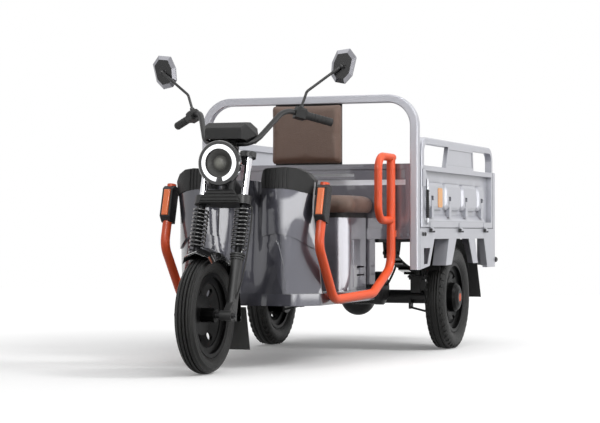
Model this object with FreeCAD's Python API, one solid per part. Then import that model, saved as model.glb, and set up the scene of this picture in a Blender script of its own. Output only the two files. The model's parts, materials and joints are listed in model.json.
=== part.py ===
import FreeCAD, Part
import math
import os

# Electric cargo tricycle in millimetres. +Z is up, the front looks along -Y, the rider's left is +X.
# The origin is on the ground below the middle of the length.

V = FreeCAD.Vector

# Stance
FRONT_AXLE_Y = -1147.0
WHEELBASE = 1850.0
REAR_AXLE_Y = FRONT_AXLE_Y + WHEELBASE
BOX_HALF = 512.0    # half the width of the cargo box
WHEEL_X = BOX_HALF - 67

# Fits
SLIP = 0.3          # between pieces that pass each other
SNUG = 0.05         # radial, round a pin or shaft
SHEET = 3.0         # pressed steel sheet

# Wheels
FRONT_TYRE_RADIUS = 228.0
FRONT_TYRE_WIDTH = 80.0
REAR_TYRE_RADIUS = 243.0
REAR_TYRE_WIDTH = 98.0
RIM_RADIUS = 152.0
RIM_WELL_RADIUS = 128.0
FLANGE_HEIGHT = 12.0
TYRE_WALL = 9.0
BEAD_SHARE = 0.62   # bead width against tyre width
TREAD_SHARE = 0.72  # tread width against tyre width
TREAD_DROP = 9.0    # shoulder below the crown
GROOVE_WIDTH = 6.0
GROOVE_DEPTH = 4.0
# holes in the wheel disc: how many, radius of their circle, their own radius
FRONT_HOLES = (6, 98.0, 16.0)
REAR_HOLES = (5, 104.0, 14.0)
FRONT_DISC_X = -18.0
REAR_DISC_X = 8.0
FRONT_HUB_RADIUS = 28.0
FRONT_HUB_HALF = 44.0
FRONT_DRUM_RADIUS = 72.0
FRONT_AXLE_RADIUS = 8.0
REAR_HUB_RADIUS = 32.0
REAR_HUB_HALF = 45.0
REAR_DRUM_RADIUS = 84.0
REAR_DRUM_DEPTH = 72.0
DRUM_WALL = 6.0
HUB_CAP_RADIUS = 70.0
HUB_CAP_HEIGHT = 48.0
HALF_SHAFT_RADIUS = 14.0

# Spring fork, measured along the legs, which stand behind the front axle
RAKE = 17.0
LEG_X = 89.0
LEG_SETBACK = 40.0
LEG_RADIUS = 23.0
LEG_TOP = 258.0
LEG_BORE_FLOOR = 40.0
TUBE_RADIUS = 15.0
TUBE_FOOT = 110.0
FENDER_LUG = (208.0, 232.0)
SPRING_RADIUS = 27.0
SPRING_WIRE = 7.6
SPRING_TURNS = 10
SPRING_LEAD = 12.0
SPRING_TURN_IN = 35.0
SEAT_RINGS = 3
CUP_FOOT = 460.0
CUP_RADIUS = 31.0
YOKE_BOSS = 29.0
LOWER_YOKE = (466.0, 496.0)
UPPER_YOKE = (656.0, 678.0)
STEM_SETBACK = 34.0
STEM_RADIUS = 12.0
STEM_NUT = 16.5
HEAD_TUBE_RADIUS = 27.0
BEARING_HEIGHT = 12.0
BAR_CLAMP_RISE = 38.0       # yoke to the middle of the bar
BAR_CLAMP_HEIGHT = 54.0
BAR_CLAMP_HALF = 34.0
BAR_SETBACK = -4.0
LEG_FOOT = -8.0
LEG_BOSS_HALF = 24.0
LEG_BOSS_RADIUS = 20.0
LEG_INNER_X = LEG_X - LEG_BOSS_HALF
LUG_HALF = 14.0
AXLE_COLLAR = 12.0
AXLE_NUT = 13.0
BRAKE_PLATE_X = -FRONT_HUB_HALF - 3
COVER_FRONT = -47.0
COVER_RIBS = 4
# front outline of the crown cover's left half, (X, along the fork)
COVER_HALF = [(86, 456), (82, 480), (52, 512)]
LAMP_EARS = (631.0, 645.0)

# Front fender
FENDER_GAP = 20.0
FENDER_HALF = 62.0
FENDER_FRONT_ANGLE = 112.0  # from the rearward direction, counted over the top
FENDER_REAR_ANGLE = -8.0
FENDER_PEAK = 14.0
FLAP_FOOT_Z = 80.0
FLAP_HALF = 80.0
FLAP_THICK = 4.0

# Headlight and instruments
LAMP_Z = 822.0
LAMP_LEAD = 91.5            # bezel ahead of the fork tubes
LAMP_SLOPE = math.radians(RAKE)
LAMP_Y = (FRONT_AXLE_Y + LEG_SETBACK / math.cos(LAMP_SLOPE)
          + (LAMP_Z - FRONT_TYRE_RADIUS) * math.tan(LAMP_SLOPE) - LAMP_LEAD)
BEZEL_RADIUS = 90.0
RING_OUTER = 74.0
RING_INNER = 56.0
LAMP_DEPTH = 88.0
LAMP_SEAT = 34.0
RING_SEAT = 14.0
RING_GAP = 28.0             # opening at the bottom in degrees
POD_FRONT_Y = -971.0
POD_REAR_Y = -812.0
POD_WIDE_Y = -890.0
POD_FOOT_Z = 905.0
POD_TOP_Z = 988.0
POD_FRONT_HALF = 78.0
POD_WIDE_HALF = 110.0
POD_REAR_HALF = 86.0
POD_WALL = 4.0
POD_TOP_HALF = 78.0
POD_FOOT_HALF = 70.0
POD_WIDE_Z = 936.0
POD_ROUNDING = 9.0
SCREEN_HALF = 58.0
SCREEN_RISE = 26.0
SCREEN_THICK = 3.0

# Handlebar, right half by corner points
BAR_RADIUS = 11.0
BAR_SHOULDER_X = 105.0
BAR_RISE = V(185, -771, 1044)
BAR_END = V(339, -650, 996)
BAR_BEND = 70.0
GRIP_RADIUS = 16.5
GRIP_LENGTH = 112.0
SWITCH_LENGTH = 44.0
STEM_TUBE_RADIUS = 5.5
MIRROR_KNEE = V(262, -722, 1118)
MIRROR_CENTRE = V(398, -661, 1220)
MIRROR_BALL = 9.0
MIRROR_OUTLINE = [(-54, -34), (-50, 18), (-27, 66), (27, 72), (54, 36), (36, -38), (4, -70), (-36, -62)]
MIRROR_DEPTH = 24.0
MIRROR_SOCKET = 26.0
MIRROR_RIM = 8.0
GRIP_RINGS = 6
GRIP_RING_PITCH = 15.0
GRIP_END = 5.0

# Leg shield: height, centre Y, crest Y, edge X, edge Y
SHIELD_LEVELS = [
    (300, -789, -793, 312, -676),
    (410, -775, -796, 305, -690),
    (520, -762, -800, 298, -708),
    (620, -755, -803, 292, -722),
    (720, -750, -800, 298, -726),
    (820, -748, -788, 304, -724),
]
SHIELD_DEPTHS = (-1000.0, -500.0)   # Y range that holds the whole shield
SHIELD_EDGE_X = 322.0
SHIELD_NOTCH_Z = 762.0      # top edge in the middle
# top edge of the left half, (X, Z)
SHIELD_TOP = [(92, SHIELD_NOTCH_Z), (101, 797), (112, 806), (199, 811), (245, 806), (280, 788), (302, 758),
              (SHIELD_EDGE_X, 722)]
SHIELD_WALL = 5.0
BULGE_HEIGHT = 14.0
RIB_HEIGHT = 6.0
CAP_LIP = 8.0
CAP_WALL = 5.0
CAP_BACK_DEPTH = 24.0
CAP_RIBS = 7
CAP_RIB_PITCH = 16.0
CAP_GROOVE = 3.4

# Floor and lower frame
FLOOR_Z = 300.0
FLOOR_LIP = 48.0
FLOOR_HALF = 312.0
FLOOR_FRONT_Y = -797.0
FLOOR_FRONT_HALF = 250.0
FLOOR_CORNER_Y = -690.0
RAIL_X = 180.0
RAIL_SIZE = 40.0
RAIL_HEIGHT = 35.0
FLOOR_CROSS_Y = (-700.0, -300.0, -60.0)
BACKBONE_RADIUS = 25.0
BACKBONE_KNEE = V(0, -706, 652)
BACKBONE_FOOT = V(0, -690, FLOOR_Z)
TREAD_RIBS = 9
TREAD_PITCH = 60.0
TREAD_RISE = 2.5

# Crash bars, left one by corner points
CRASH_RADIUS = 19.0
CRASH_FRONT_X = FLOOR_HALF + 26
POST_X = max(BOX_HALF - 112, FLOOR_HALF + 40)
LOOP_TOP_Z = 876.0
CRASH_POINTS = [
    V(CRASH_FRONT_X, -716, 747),
    V(CRASH_FRONT_X, -790, 495),
    V(CRASH_FRONT_X, -610, 272),
    V(POST_X, -290, 290),
    V(POST_X, -35, 400),
    V(POST_X, -35, LOOP_TOP_Z),
]
CRASH_BENDS = [0, 75, 75, 90, 90, 0]
LOOP_RADIUS = 17.0
LOOP_REACH = 180.0
LOOP_BEND = 62.0
LOOP_STUB = 24.0
LOOP_FOOT_Z = 601.0
SIGNAL_Z = 662.0
SIGNAL_HALF = 24.0
SIGNAL_SIDE = [(-36, -58), (-36, 60), (-16, 78), (24, 78), (24, -76), (-14, -76)]
LENS_HALF = 14.0
LENS_FOOT = -53.0
LENS_TOP = 57.0

# Seat
SEAT_BOX_HALF = 275.0
SEAT_BOX_FRONT_Y = -262.0
SEAT_BOX_BACK_Y = -2.0
SEAT_BOX_TOP_Z = 612.0
SEAT_BOX_CORNER = 55.0
SEAT_PAN_TOP_Z = 634.0
SEAT_TOP_Z = 702.0
SEAT_HALF = SEAT_BOX_HALF + 37
SEAT_FRONT_Y = -314.0
SEAT_HINGE_Y = -274.0
SEAT_HINGE_Z = 616.0
SEAT_HINGE_X = 150.0
SEAT_HINGE_HALF = 30.0
BATTERIES = 5
BATTERY_WIDTH = (SEAT_BOX_HALF - 65) * 2 / BATTERIES
BATTERY_HEIGHT = 168.0
BACKREST_HALF = 167.0
BACKREST_TOP_Z = 1117.0
BACKREST_THICK = 44.0
BACKREST_CORNER = 14.0

# Cargo box
BOX_REAR_Y = 1341.0
HOOP_FRONT_Y = -5.0
HOOP_DEPTH = 40.0
HOOP_REAR_Y = HOOP_FRONT_Y + HOOP_DEPTH
HOOP_TOP_Z = 1155.0
HOOP_FOOT_Z = 385.0
HOOP_WALL = 36.0
HOOP_CORNER = 140.0
HOOP_EDGE = 5.0
HEADBOARD_FRONT_Y = 0.0
HEADBOARD_DEPTH = 30.0
TOP_RAIL = 24.0
DECK_RIBS = 7
DECK_RIB_RISE = 9.0
SILL_Z = 519.0
DECK_Z = 567.0
SIDE_TOP_Z = 971.0
PANEL_TOP_Z = 850.0
RIM_DEPTH = 32.0
POST_DEPTH = 39.0
GATE_FRAME = 30.0
GATE_FRONT_Y = HOOP_REAR_Y + 29
GATE_REAR_Y = BOX_REAR_Y - POST_DEPTH - 4
GATE_CORNER = 70.0
MID_RAIL = (823.0, 845.0)
BULGES = 4
BULGE_FRONT = 116.0         # first bulge behind the gate's front edge
BULGE_REAR = 140.0          # last bulge ahead of the gate's rear edge
LAST_BULGE = 120.0
BULGE_SPACE = 21.0
BULGE_FOOT = 50.0           # above the sill
PILLOW_RISE = 20.0
HOOK_SETBACK = 63.0
HOOK_RISE = 96.0
HINGE_OUT = 8.0
HINGE_DROP = 7.0
PIN_RADIUS = 4.0
KNUCKLE_RADIUS = 7.0
KNUCKLE_HALF = 18.0
GATE_FOOT_Z = DECK_Z + 0.5
PLATE_OUTLINE = [(GATE_FRONT_Y + 379, 844), (GATE_FRONT_Y + 423, 942), (GATE_REAR_Y - 380, 942),
                 (GATE_REAR_Y - 368, 844)]
PLATE_FIELD = [(GATE_FRONT_Y + 398, 857), (GATE_FRONT_Y + 432, 931), (GATE_REAR_Y - 393, 931),
               (GATE_REAR_Y - 384, 857)]
PLATE_DEPTH = 20.0
HINGE_SHARES = (0.11, 0.5, 0.87)
POST_WIDTH = 42.0
TAILGATE_DEPTH = 27.0
PANEL_INSET = 25.0
SKIRT_FOOT_Z = 385.0
STRUT_FOOT_Z = 400.0
SKIRT_SHEET = 4.0
# edges below the side rail as (Y, Z) corners
SKIRT_FRONT = [(HOOP_REAR_Y + 222, SILL_Z), (HOOP_REAR_Y + 146, STRUT_FOOT_Z)]
SKIRT_WINDOW = [(HOOP_REAR_Y + 57, SILL_Z - 40), (HOOP_REAR_Y + 157, SILL_Z - 40),
                (HOOP_REAR_Y + 116, STRUT_FOOT_Z + 8), (HOOP_REAR_Y + 57, STRUT_FOOT_Z + 8)]
STRUT_FRONT = [(REAR_AXLE_Y - 210, SILL_Z), (REAR_AXLE_Y - 79, SILL_Z),
               (REAR_AXLE_Y - 162, STRUT_FOOT_Z), (REAR_AXLE_Y - 259, STRUT_FOOT_Z - 3)]
STRUT_REAR = [(REAR_AXLE_Y + 136, SILL_Z), (REAR_AXLE_Y + 253, SILL_Z),
              (REAR_AXLE_Y + 305, STRUT_FOOT_Z), (REAR_AXLE_Y + 217, STRUT_FOOT_Z)]
SKIRT_REAR = [(BOX_REAR_Y - 216, SILL_Z), (BOX_REAR_Y - 154, SKIRT_FOOT_Z)]
FOLD_DEPTH = 65.0

# Bed frame and rear suspension
BED_RAIL_X = BOX_HALF - 212
BED_RAIL_HEIGHT = 60.0
SPRING_HALF_SPAN = BOX_REAR_Y - REAR_AXLE_Y - 218
EYE_Z = 455.0
LEAF_TOP_Z = 370.0
LEAF_THICK = 7.0
LEAF_SPANS = (1.0, 0.78, 0.55, 0.34)
LEAF_WIDTH = 50.0
EYE_RADIUS = 15.0
EYE_PIN_RADIUS = 8.0
AXLE_RADIUS = 32.0
MOTOR_RADIUS = 78.0
MOTOR_X = (-46.0, BED_RAIL_X - 110)
MOTOR_BELL = 46.0
MOTOR_RISE = 44.0
MOTOR_RIBS = 10
GEAR_CASE_RADIUS = 92.0
GEAR_CASE_HALF = 74.0
GEAR_CASE_NECK = 46.0
BRAKE_LINK_X = 0.62         # inner end of the brake link as a share of the wheel's X
BRAKE_PLATE_GAP = 3.0
CONTROLLER_Y = 250.0
CONTROLLER_HALF = 95.0
CONTROLLER_FINS = 8
ARCH_RADIUS = 275.0
ARCH_LIFT = 15.0
ARCH_LIP = 22.0
ARCH_START = 25.0
ARCH_SWEEP = 130.0

# Brake pedal
PEDAL_X = -170.0
PEDAL_PIVOT_Y = -540.0
PEDAL_PIVOT_Z = 316.0
PEDAL_PAD_Y = -625.0
PEDAL_PAD_Z = 398.0

DECK_UNDER_Z = DECK_Z - SHEET
BED_FOOT_Z = DECK_UNDER_Z - BED_RAIL_HEIGHT
HOOP_INNER = BOX_HALF - HOOP_WALL
SILL_FRONT_Y = BOX_REAR_Y - POST_DEPTH
PAD_BACK_Y = HOOP_FRONT_Y + 15


# Basic shapes
def box(x0, x1, y0, y1, z0, z1):
    return Part.makeBox(x1 - x0, y1 - y0, z1 - z0, V(x0, y0, z0))


def rod(start, end, radius):
    return Part.makeCylinder(radius, (end - start).Length, start, end - start)


def rod_x(x0, x1, y, z, radius):
    return rod(V(x0, y, z), V(x1, y, z), radius)


def rod_z(x, y, z0, z1, radius):
    return rod(V(x, y, z0), V(x, y, z1), radius)


def face(points):
    return Part.Face(Part.makePolygon(points + [points[0]]))


def prism_x(points, x0, x1):
    """Solid with a (Y, Z) outline between two X."""
    return face([V(x0, y, z) for y, z in points]).extrude(V(x1 - x0, 0, 0))


def prism_y(points, y0, y1):
    """Solid with an (X, Z) outline between two Y."""
    return face([V(x, y0, z) for x, z in points]).extrude(V(0, y1 - y0, 0))


def prism_z(points, z0, z1):
    """Solid with an (X, Y) outline between two Z."""
    return face([V(x, y, z0) for x, y in points]).extrude(V(0, 0, z1 - z0))


def mirrored(shape):
    return shape.mirror(V(0, 0, 0), V(1, 0, 0))


def both_sides(shape):
    return [shape, mirrored(shape)]


def fuse(first, *others):
    return first.fuse(list(others)).removeSplitter()


def placed(shape, place):
    copy = shape.copy()
    copy.Placement = place.multiply(copy.Placement)
    return copy


def softened(shape, radius, keep):
    """Rounds the edges whose two end points and middle pass the test."""
    edges = []
    for edge in shape.Edges:
        points = [v.Point for v in edge.Vertexes] + [edge.CenterOfMass]
        if all(keep(p) for p in points):
            edges.append(edge)
    return shape.makeFillet(radius, edges)


def rounded_wire(points, radii, closed=True):
    """Lines through the points with arcs at the corners."""
    count = len(points)
    edges = []
    pen = None
    for i, at in enumerate(points):
        is_end = not closed and i in (0, count - 1)
        start = middle = end = at
        if radii[i] and not is_end:
            back = (points[i - 1] - at).normalize()
            ahead = (points[(i + 1) % count] - at).normalize()
            half = back.getAngle(ahead) / 2
            reach = radii[i] / math.tan(half)
            start = at + back * reach
            end = at + ahead * reach
            inward = (back + ahead).normalize()
            middle = at + inward * (radii[i] / math.sin(half) - radii[i])
        if pen is None:
            first = start
        elif (start - pen).Length > 1e-6:
            edges.append(Part.makeLine(pen, start))
        if middle is not at:
            edges.append(Part.Arc(start, middle, end).toShape())
        pen = end
    if closed and (first - pen).Length > 1e-6:
        edges.append(Part.makeLine(pen, first))
    return Part.Wire(edges)


def tube(points, bends, radius):
    """Round bar along a bent line."""
    path = rounded_wire(points, bends, closed=False)
    ring = Part.Wire(Part.makeCircle(radius, points[0], points[1] - points[0]))
    return path.makePipeShell([ring], True, False)


def turned_x(points):
    """Solid of revolution round X from (X, radius) corner points."""
    return face([V(x, 0, r) for x, r in points]).revolve(V(0, 0, 0), V(1, 0, 0), 360)


def turned_y(points, y_axis_z):
    """Solid of revolution round a Y line at a height from (Y, radius) corner points."""
    outline = face([V(0, y, y_axis_z + r) for y, r in points])
    return outline.revolve(V(0, 0, y_axis_z), V(0, 1, 0), 360)


FORK_TURN = FreeCAD.Rotation(V(1, 0, 0), -RAKE)
FORK_FOOT = V(0, FRONT_AXLE_Y, FRONT_TYRE_RADIUS) + FORK_TURN.multVec(V(0, LEG_SETBACK, 0))
FORK = FreeCAD.Placement(FORK_FOOT, FORK_TURN)


def on_fork(shape):
    """From fork axes, Z along the legs from beside the axle, to the frame."""
    return placed(shape, FORK)


# Wheels
def tyre(width, radius, grooves):
    half = width / 2
    bead = half * BEAD_SHARE
    tread = half * TREAD_SHARE
    flange = RIM_RADIUS + FLANGE_HEIGHT + 2
    belly = (RIM_RADIUS + radius) / 2

    def arc(a, b, c):
        return Part.Arc(V(a[0], 0, a[1]), V(b[0], 0, b[1]), V(c[0], 0, c[1])).toShape()

    def line(a, b):
        return Part.makeLine(V(a[0], 0, a[1]), V(b[0], 0, b[1]))

    def skin(inset):
        return [
            (bead - inset, RIM_RADIUS),
            (bead - inset, flange),
            (half - inset, belly),
            (tread - inset / 2, radius - TREAD_DROP - inset),
            (0, radius - inset),
        ]

    def flip(p):
        return (-p[0], p[1])

    outer = skin(0)
    inner = skin(TYRE_WALL)
    edges = []
    for a in (outer, inner):
        edges.append(line(a[0], a[1]))
        edges.append(arc(a[1], a[2], a[3]))
        edges.append(arc(a[3], a[4], flip(a[3])))
        edges.append(arc(flip(a[3]), flip(a[2]), flip(a[1])))
        edges.append(line(flip(a[1]), flip(a[0])))
    edges.append(line(outer[0], inner[0]))
    edges.append(line(flip(outer[0]), flip(inner[0])))
    outline = Part.Face(Part.Wire(Part.__sortEdges__(edges)))
    solid = outline.revolve(V(0, 0, 0), V(1, 0, 0), 360)
    for i in range(grooves):
        x = (i - (grooves - 1) / 2) * tread * 1.5 / grooves
        low = radius - TREAD_DROP * (x / tread) ** 2 - GROOVE_DEPTH
        high = radius + 1
        side = GROOVE_WIDTH / 2
        solid = solid.cut(turned_x([(x - side, low), (x + side, low), (x + side, high), (x - side, high)]))
    return solid


def rim(width, disc_x, holes, hub_radius, hub, drum, bore):
    """Steel rim with well, disc with holes, hub tube and brake drum. Outboard is +X."""
    bead = width / 2 * BEAD_SHARE
    seat = RIM_RADIUS - SLIP
    lip = bead + SLIP
    top = RIM_RADIUS + FLANGE_HEIGHT
    well = RIM_WELL_RADIUS
    barrel = turned_x([
        (-lip - SHEET, top), (-lip, top), (-lip, seat), (-bead * 0.55, seat), (-bead * 0.4, well),
        (bead * 0.4, well), (bead * 0.55, seat), (lip, seat), (lip, top), (lip + SHEET, top),
        (lip + SHEET, seat - SHEET), (bead * 0.6, seat - SHEET), (bead * 0.45, well - SHEET),
        (-bead * 0.45, well - SHEET), (-bead * 0.6, seat - SHEET), (-lip - SHEET, seat - SHEET)])
    count, circle, hole_radius = holes
    dish = disc_x + SHEET * 2
    disc = turned_x([
        (disc_x, hub_radius - 2), (dish, hub_radius - 2), (dish, circle * 0.8),
        (dish + 8, circle), (bead * 0.3, well - SHEET + 1), (-bead * 0.3, well - SHEET + 1),
        (disc_x + 4, circle), (disc_x, circle * 0.8)])
    drills = []
    for i in range(count):
        angle = 2 * math.pi * i / count
        drills.append(rod_x(-width, width, circle * math.cos(angle), circle * math.sin(angle), hole_radius))
    hub_solid = rod_x(hub[0], hub[1], 0, 0, hub_radius)
    drum_radius, drum_x0, drum_x1 = drum
    shell = turned_x([
        (drum_x0, drum_radius - DRUM_WALL), (drum_x0, drum_radius), (drum_x1, drum_radius),
        (drum_x1, drum_radius - DRUM_WALL)])
    body = fuse(barrel, disc.cut(drills), hub_solid, shell)
    return body.cut(rod_x(-2 * width, 2 * width, 0, 0, bore))


def at_front_axle(shape):
    return placed(shape, FreeCAD.Placement(V(0, FRONT_AXLE_Y, FRONT_TYRE_RADIUS), FreeCAD.Rotation()))


def at_rear_wheel(shape):
    return placed(shape, FreeCAD.Placement(V(WHEEL_X, REAR_AXLE_Y, REAR_TYRE_RADIUS), FreeCAD.Rotation()))


def front_tyre():
    return at_front_axle(tyre(FRONT_TYRE_WIDTH, FRONT_TYRE_RADIUS, 3))


def front_rim():
    drum = (FRONT_DRUM_RADIUS, -FRONT_HUB_HALF, FRONT_DISC_X + 1)
    hub = (-FRONT_HUB_HALF, FRONT_HUB_HALF)
    return at_front_axle(rim(FRONT_TYRE_WIDTH, FRONT_DISC_X, FRONT_HOLES, FRONT_HUB_RADIUS, hub, drum,
                             FRONT_AXLE_RADIUS + SNUG))


def rear_tyre():
    return at_rear_wheel(tyre(REAR_TYRE_WIDTH, REAR_TYRE_RADIUS, 2))


def rear_rim():
    """Rim, hub cap and half shaft of the left wheel."""
    drum = (REAR_DRUM_RADIUS, -REAR_DRUM_DEPTH, REAR_DISC_X + 1)
    hub = (-REAR_HUB_HALF, REAR_HUB_HALF)
    bore = HALF_SHAFT_RADIUS + SNUG
    wheel = rim(REAR_TYRE_WIDTH, REAR_DISC_X, REAR_HOLES, REAR_HUB_RADIUS, hub, drum, bore)
    foot = REAR_DISC_X + SHEET * 2
    crown = foot + HUB_CAP_HEIGHT
    r = HUB_CAP_RADIUS
    cap = turned_x([
        (foot, r), (crown * 0.66, r * 0.97), (crown - 9, r * 0.82), (crown, r * 0.52), (crown, 0),
        (crown - SHEET, 0), (crown - SHEET, r * 0.5), (crown - 12, r * 0.78), (crown * 0.66 - 2, r * 0.92),
        (foot, r - SHEET)])
    shaft = rod_x(-WHEEL_X * 0.55, REAR_HUB_HALF, 0, 0, HALF_SHAFT_RADIUS)
    return [at_rear_wheel(s) for s in (wheel, cap, shaft)]


# Spring fork
def fork_legs():
    """Legs with ringed spring seats and a forged foot that holds the axle ahead of the leg."""
    parts = [rod_z(LEG_X, 0, LEG_FOOT, LEG_TOP, LEG_RADIUS)]
    for i in range(SEAT_RINGS):
        high = LEG_TOP - i * 9
        parts.append(rod_z(LEG_X, 0, high - 6, high, CUP_RADIUS - i * 2))
    axle_y = -LEG_SETBACK
    parts.append(rod_x(LEG_INNER_X, LEG_X + LEG_BOSS_HALF, axle_y, 0, LEG_BOSS_RADIUS))
    foot = [(axle_y - 8, 16), (-14, 70), (15, 70), (17, 4), (5, -14), (axle_y, -18)]
    parts.append(prism_x(foot, LEG_X - 13, LEG_X + 13))
    parts.append(box(LEG_INNER_X - 2, LEG_X - LEG_RADIUS / 2, -LUG_HALF, LUG_HALF, *FENDER_LUG))
    leg = fuse(parts[0], *parts[1:])
    leg = leg.cut([rod_z(LEG_X, 0, LEG_BORE_FLOOR, LEG_TOP + 1, TUBE_RADIUS + SLIP),
                   rod_x(LEG_X - 40, LEG_X + 40, axle_y, 0, FRONT_AXLE_RADIUS + SNUG)])
    return [on_fork(s) for s in both_sides(leg)]


def fork_tubes():
    stanchion = rod_z(LEG_X, 0, TUBE_FOOT, UPPER_YOKE[1] - 2, TUBE_RADIUS)
    return [on_fork(s) for s in both_sides(stanchion)]


def yoke_outline(half_depth):
    """Plan of a yoke plate: straight in front, drawn back to the stem."""
    back = STEM_SETBACK + 24
    neck = BAR_CLAMP_HALF
    return [(-LEG_X, -half_depth), (LEG_X, -half_depth), (LEG_X, half_depth), (neck, back), (-neck, back),
            (-LEG_X, half_depth)]


def fork_yokes():
    """Lower yoke with spring cups and stem, upper yoke with bar clamp, stem nut."""
    stem_y = STEM_SETBACK
    low, high = LOWER_YOKE
    cups = both_sides(rod_z(LEG_X, 0, CUP_FOOT, low, CUP_RADIUS))
    cups += both_sides(rod_z(LEG_X, 0, low, high, YOKE_BOSS))
    web = prism_z(yoke_outline(YOKE_BOSS), low, high)
    stem = rod_z(0, stem_y, low, UPPER_YOKE[1] + 10, STEM_RADIUS)
    tube_holes = both_sides(rod_z(LEG_X, 0, 0, UPPER_YOKE[1] + 50, TUBE_RADIUS + SNUG))
    lower = fuse(web, *cups).fuse(stem).cut(tube_holes)

    foot, top = UPPER_YOKE
    plate = prism_z(yoke_outline(LEG_RADIUS + 4), foot, top)
    ends = both_sides(rod_z(LEG_X, 0, foot, top, LEG_RADIUS + 5))
    clamp = box(-BAR_CLAMP_HALF, BAR_CLAMP_HALF, -20, 17, top, top + BAR_CLAMP_HEIGHT)
    lamp_room = box(-60, 60, -60, -6, foot - 1, top)
    upper = fuse(plate.cut(lamp_room), *ends).fuse(clamp)
    stem_hole = rod_z(0, stem_y, foot - 1, top + 20, STEM_RADIUS + SNUG)
    upper = upper.cut(tube_holes + [stem_hole, bar_hole()])
    nut = rod_z(0, stem_y, top, top + 10, STEM_NUT).cut(stem_hole)
    return [on_fork(s) for s in (lower, upper, nut)]


def bar_hole():
    height = UPPER_YOKE[1] + BAR_CLAMP_RISE
    return rod_x(-60, 60, BAR_SETBACK, height, BAR_RADIUS + SNUG)


def crown_cover():
    """Ribbed cover in front of the lower yoke."""
    front = COVER_FRONT
    side, low = COVER_HALF[0]
    high = COVER_HALF[-1][1]
    outline = COVER_HALF + [(-x, z) for x, z in reversed(COVER_HALF)]
    body = prism_y(outline, front, -YOKE_BOSS)
    body = softened(body, 6, lambda p: p.y < front + 0.1)
    pitch = (high - low) / COVER_RIBS
    for i in range(COVER_RIBS):
        z = low + (i + 0.5) * pitch
        body = body.cut(box(-side - 1, side + 1, front - 1, front + 4, z - 3, z + 3))
    return on_fork(body.cut(both_sides(rod_z(LEG_X, 0, low - 1, LOWER_YOKE[0], CUP_RADIUS + SLIP))))


def biarc(p0, t0, p1, t1):
    """Two arcs that leave p0 along t0 and reach p1 along t1."""
    across = p1 - p0
    both = t0 + t1
    spread = 2 * (1 - t0.dot(t1))
    reach = (-across.dot(both) + math.sqrt(across.dot(both) ** 2 + spread * across.dot(across))) / spread
    q0 = p0 + t0 * reach
    q1 = p1 - t1 * reach
    joint = (q0 + q1) * 0.5
    edges = []
    for a, q, b in ((p0, q0, joint), (joint, q1, p1)):
        weight = (b - a).Length / 2 / (q - a).Length
        middle = (a + b + q * (2 * weight)) * (0.5 / (1 + weight))
        edges.append(Part.Arc(a, middle, b).toShape())
    return edges


def fork_springs():
    """Coil springs between leg seat and yoke cup, each one unbroken wire."""
    foot, top = LEG_TOP, CUP_FOOT
    straight = SPRING_WIRE
    turn_in = math.radians(SPRING_TURN_IN)
    low, high = foot + straight + SPRING_LEAD, top - straight - SPRING_LEAD
    climb = (high - low) / SPRING_TURNS / (2 * math.pi)

    def on_coil(angle):
        return V(SPRING_RADIUS * math.cos(angle), SPRING_RADIUS * math.sin(angle), low + climb * angle)

    def along_coil(angle):
        return V(-SPRING_RADIUS * math.sin(angle), SPRING_RADIUS * math.cos(angle), climb).normalize()

    up = V(0, 0, 1)
    last = SPRING_TURNS * 2 * math.pi
    entry = V(SPRING_RADIUS * math.cos(-turn_in), SPRING_RADIUS * math.sin(-turn_in), foot)
    leave = V(SPRING_RADIUS * math.cos(last + turn_in), SPRING_RADIUS * math.sin(last + turn_in), top)
    edges = [Part.makeLine(entry, entry + up * straight)]
    edges += biarc(entry + up * straight, up, on_coil(0), along_coil(0))
    quarters = SPRING_TURNS * 4
    for i in range(quarters):
        a, b = last * i / quarters, last * (i + 1) / quarters
        edges += biarc(on_coil(a), along_coil(a), on_coil(b), along_coil(b))
    edges += biarc(on_coil(last), along_coil(last), leave - up * straight, up)
    edges.append(Part.makeLine(leave - up * straight, leave))
    path = Part.Wire(edges)
    ring = Part.Wire(Part.makeCircle(SPRING_WIRE / 2, entry, up))
    coil = path.makePipeShell([ring], True, False)
    print("spring: least gap to itself %.2f mm" % self_gap(path))
    coil.translate(V(LEG_X, 0, 0))
    return [on_fork(s) for s in both_sides(coil)]


def self_gap(path):
    """Least clear distance between turns, on points along the wire."""
    points = path.discretize(Distance=4.0)
    skip = 12
    least = 1e9
    for i, p in enumerate(points):
        for q in points[i + skip:]:
            least = min(least, (p - q).Length)
    return least - SPRING_WIRE


def front_axle():
    """Axle with collars inside the legs and hexagon nuts outside."""
    outside = LEG_X + LEG_BOSS_HALF
    shaft = rod_x(-outside - 16, outside + 16, 0, 0, FRONT_AXLE_RADIUS)
    collars = both_sides(rod_x(FRONT_HUB_HALF + 1, LEG_INNER_X, 0, 0, AXLE_COLLAR))
    nuts = both_sides(hexagon(outside, outside + 10, AXLE_NUT))
    return at_front_axle(fuse(shaft, *(collars + nuts)))


def hexagon(x0, x1, radius):
    corners = [(radius * math.cos(math.pi * i / 3), radius * math.sin(math.pi * i / 3)) for i in range(6)]
    return prism_x(corners, x0, x1)


def front_brake_plate():
    """Backing plate with cam arm, held by a stay to the leg."""
    edge = BRAKE_PLATE_X
    plate = rod_x(edge - 5, edge, 0, 0, FRONT_DRUM_RADIUS + 2)
    arm = box(edge - 11, edge - 5, -9, 9, 20, 112)
    stay = box(LEG_RADIUS - LEG_X - 3, edge - 5, -10, 10, 60, 66)
    body = fuse(plate, arm, stay).cut(rod_x(edge - 40, edge + 40, 0, 0, AXLE_COLLAR + SNUG))
    body = placed(body, FreeCAD.Placement(V(0, FRONT_AXLE_Y, FRONT_TYRE_RADIUS),
                                          FreeCAD.Rotation(V(1, 0, 0), -60)))
    return body.cut(fork_legs())


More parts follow.
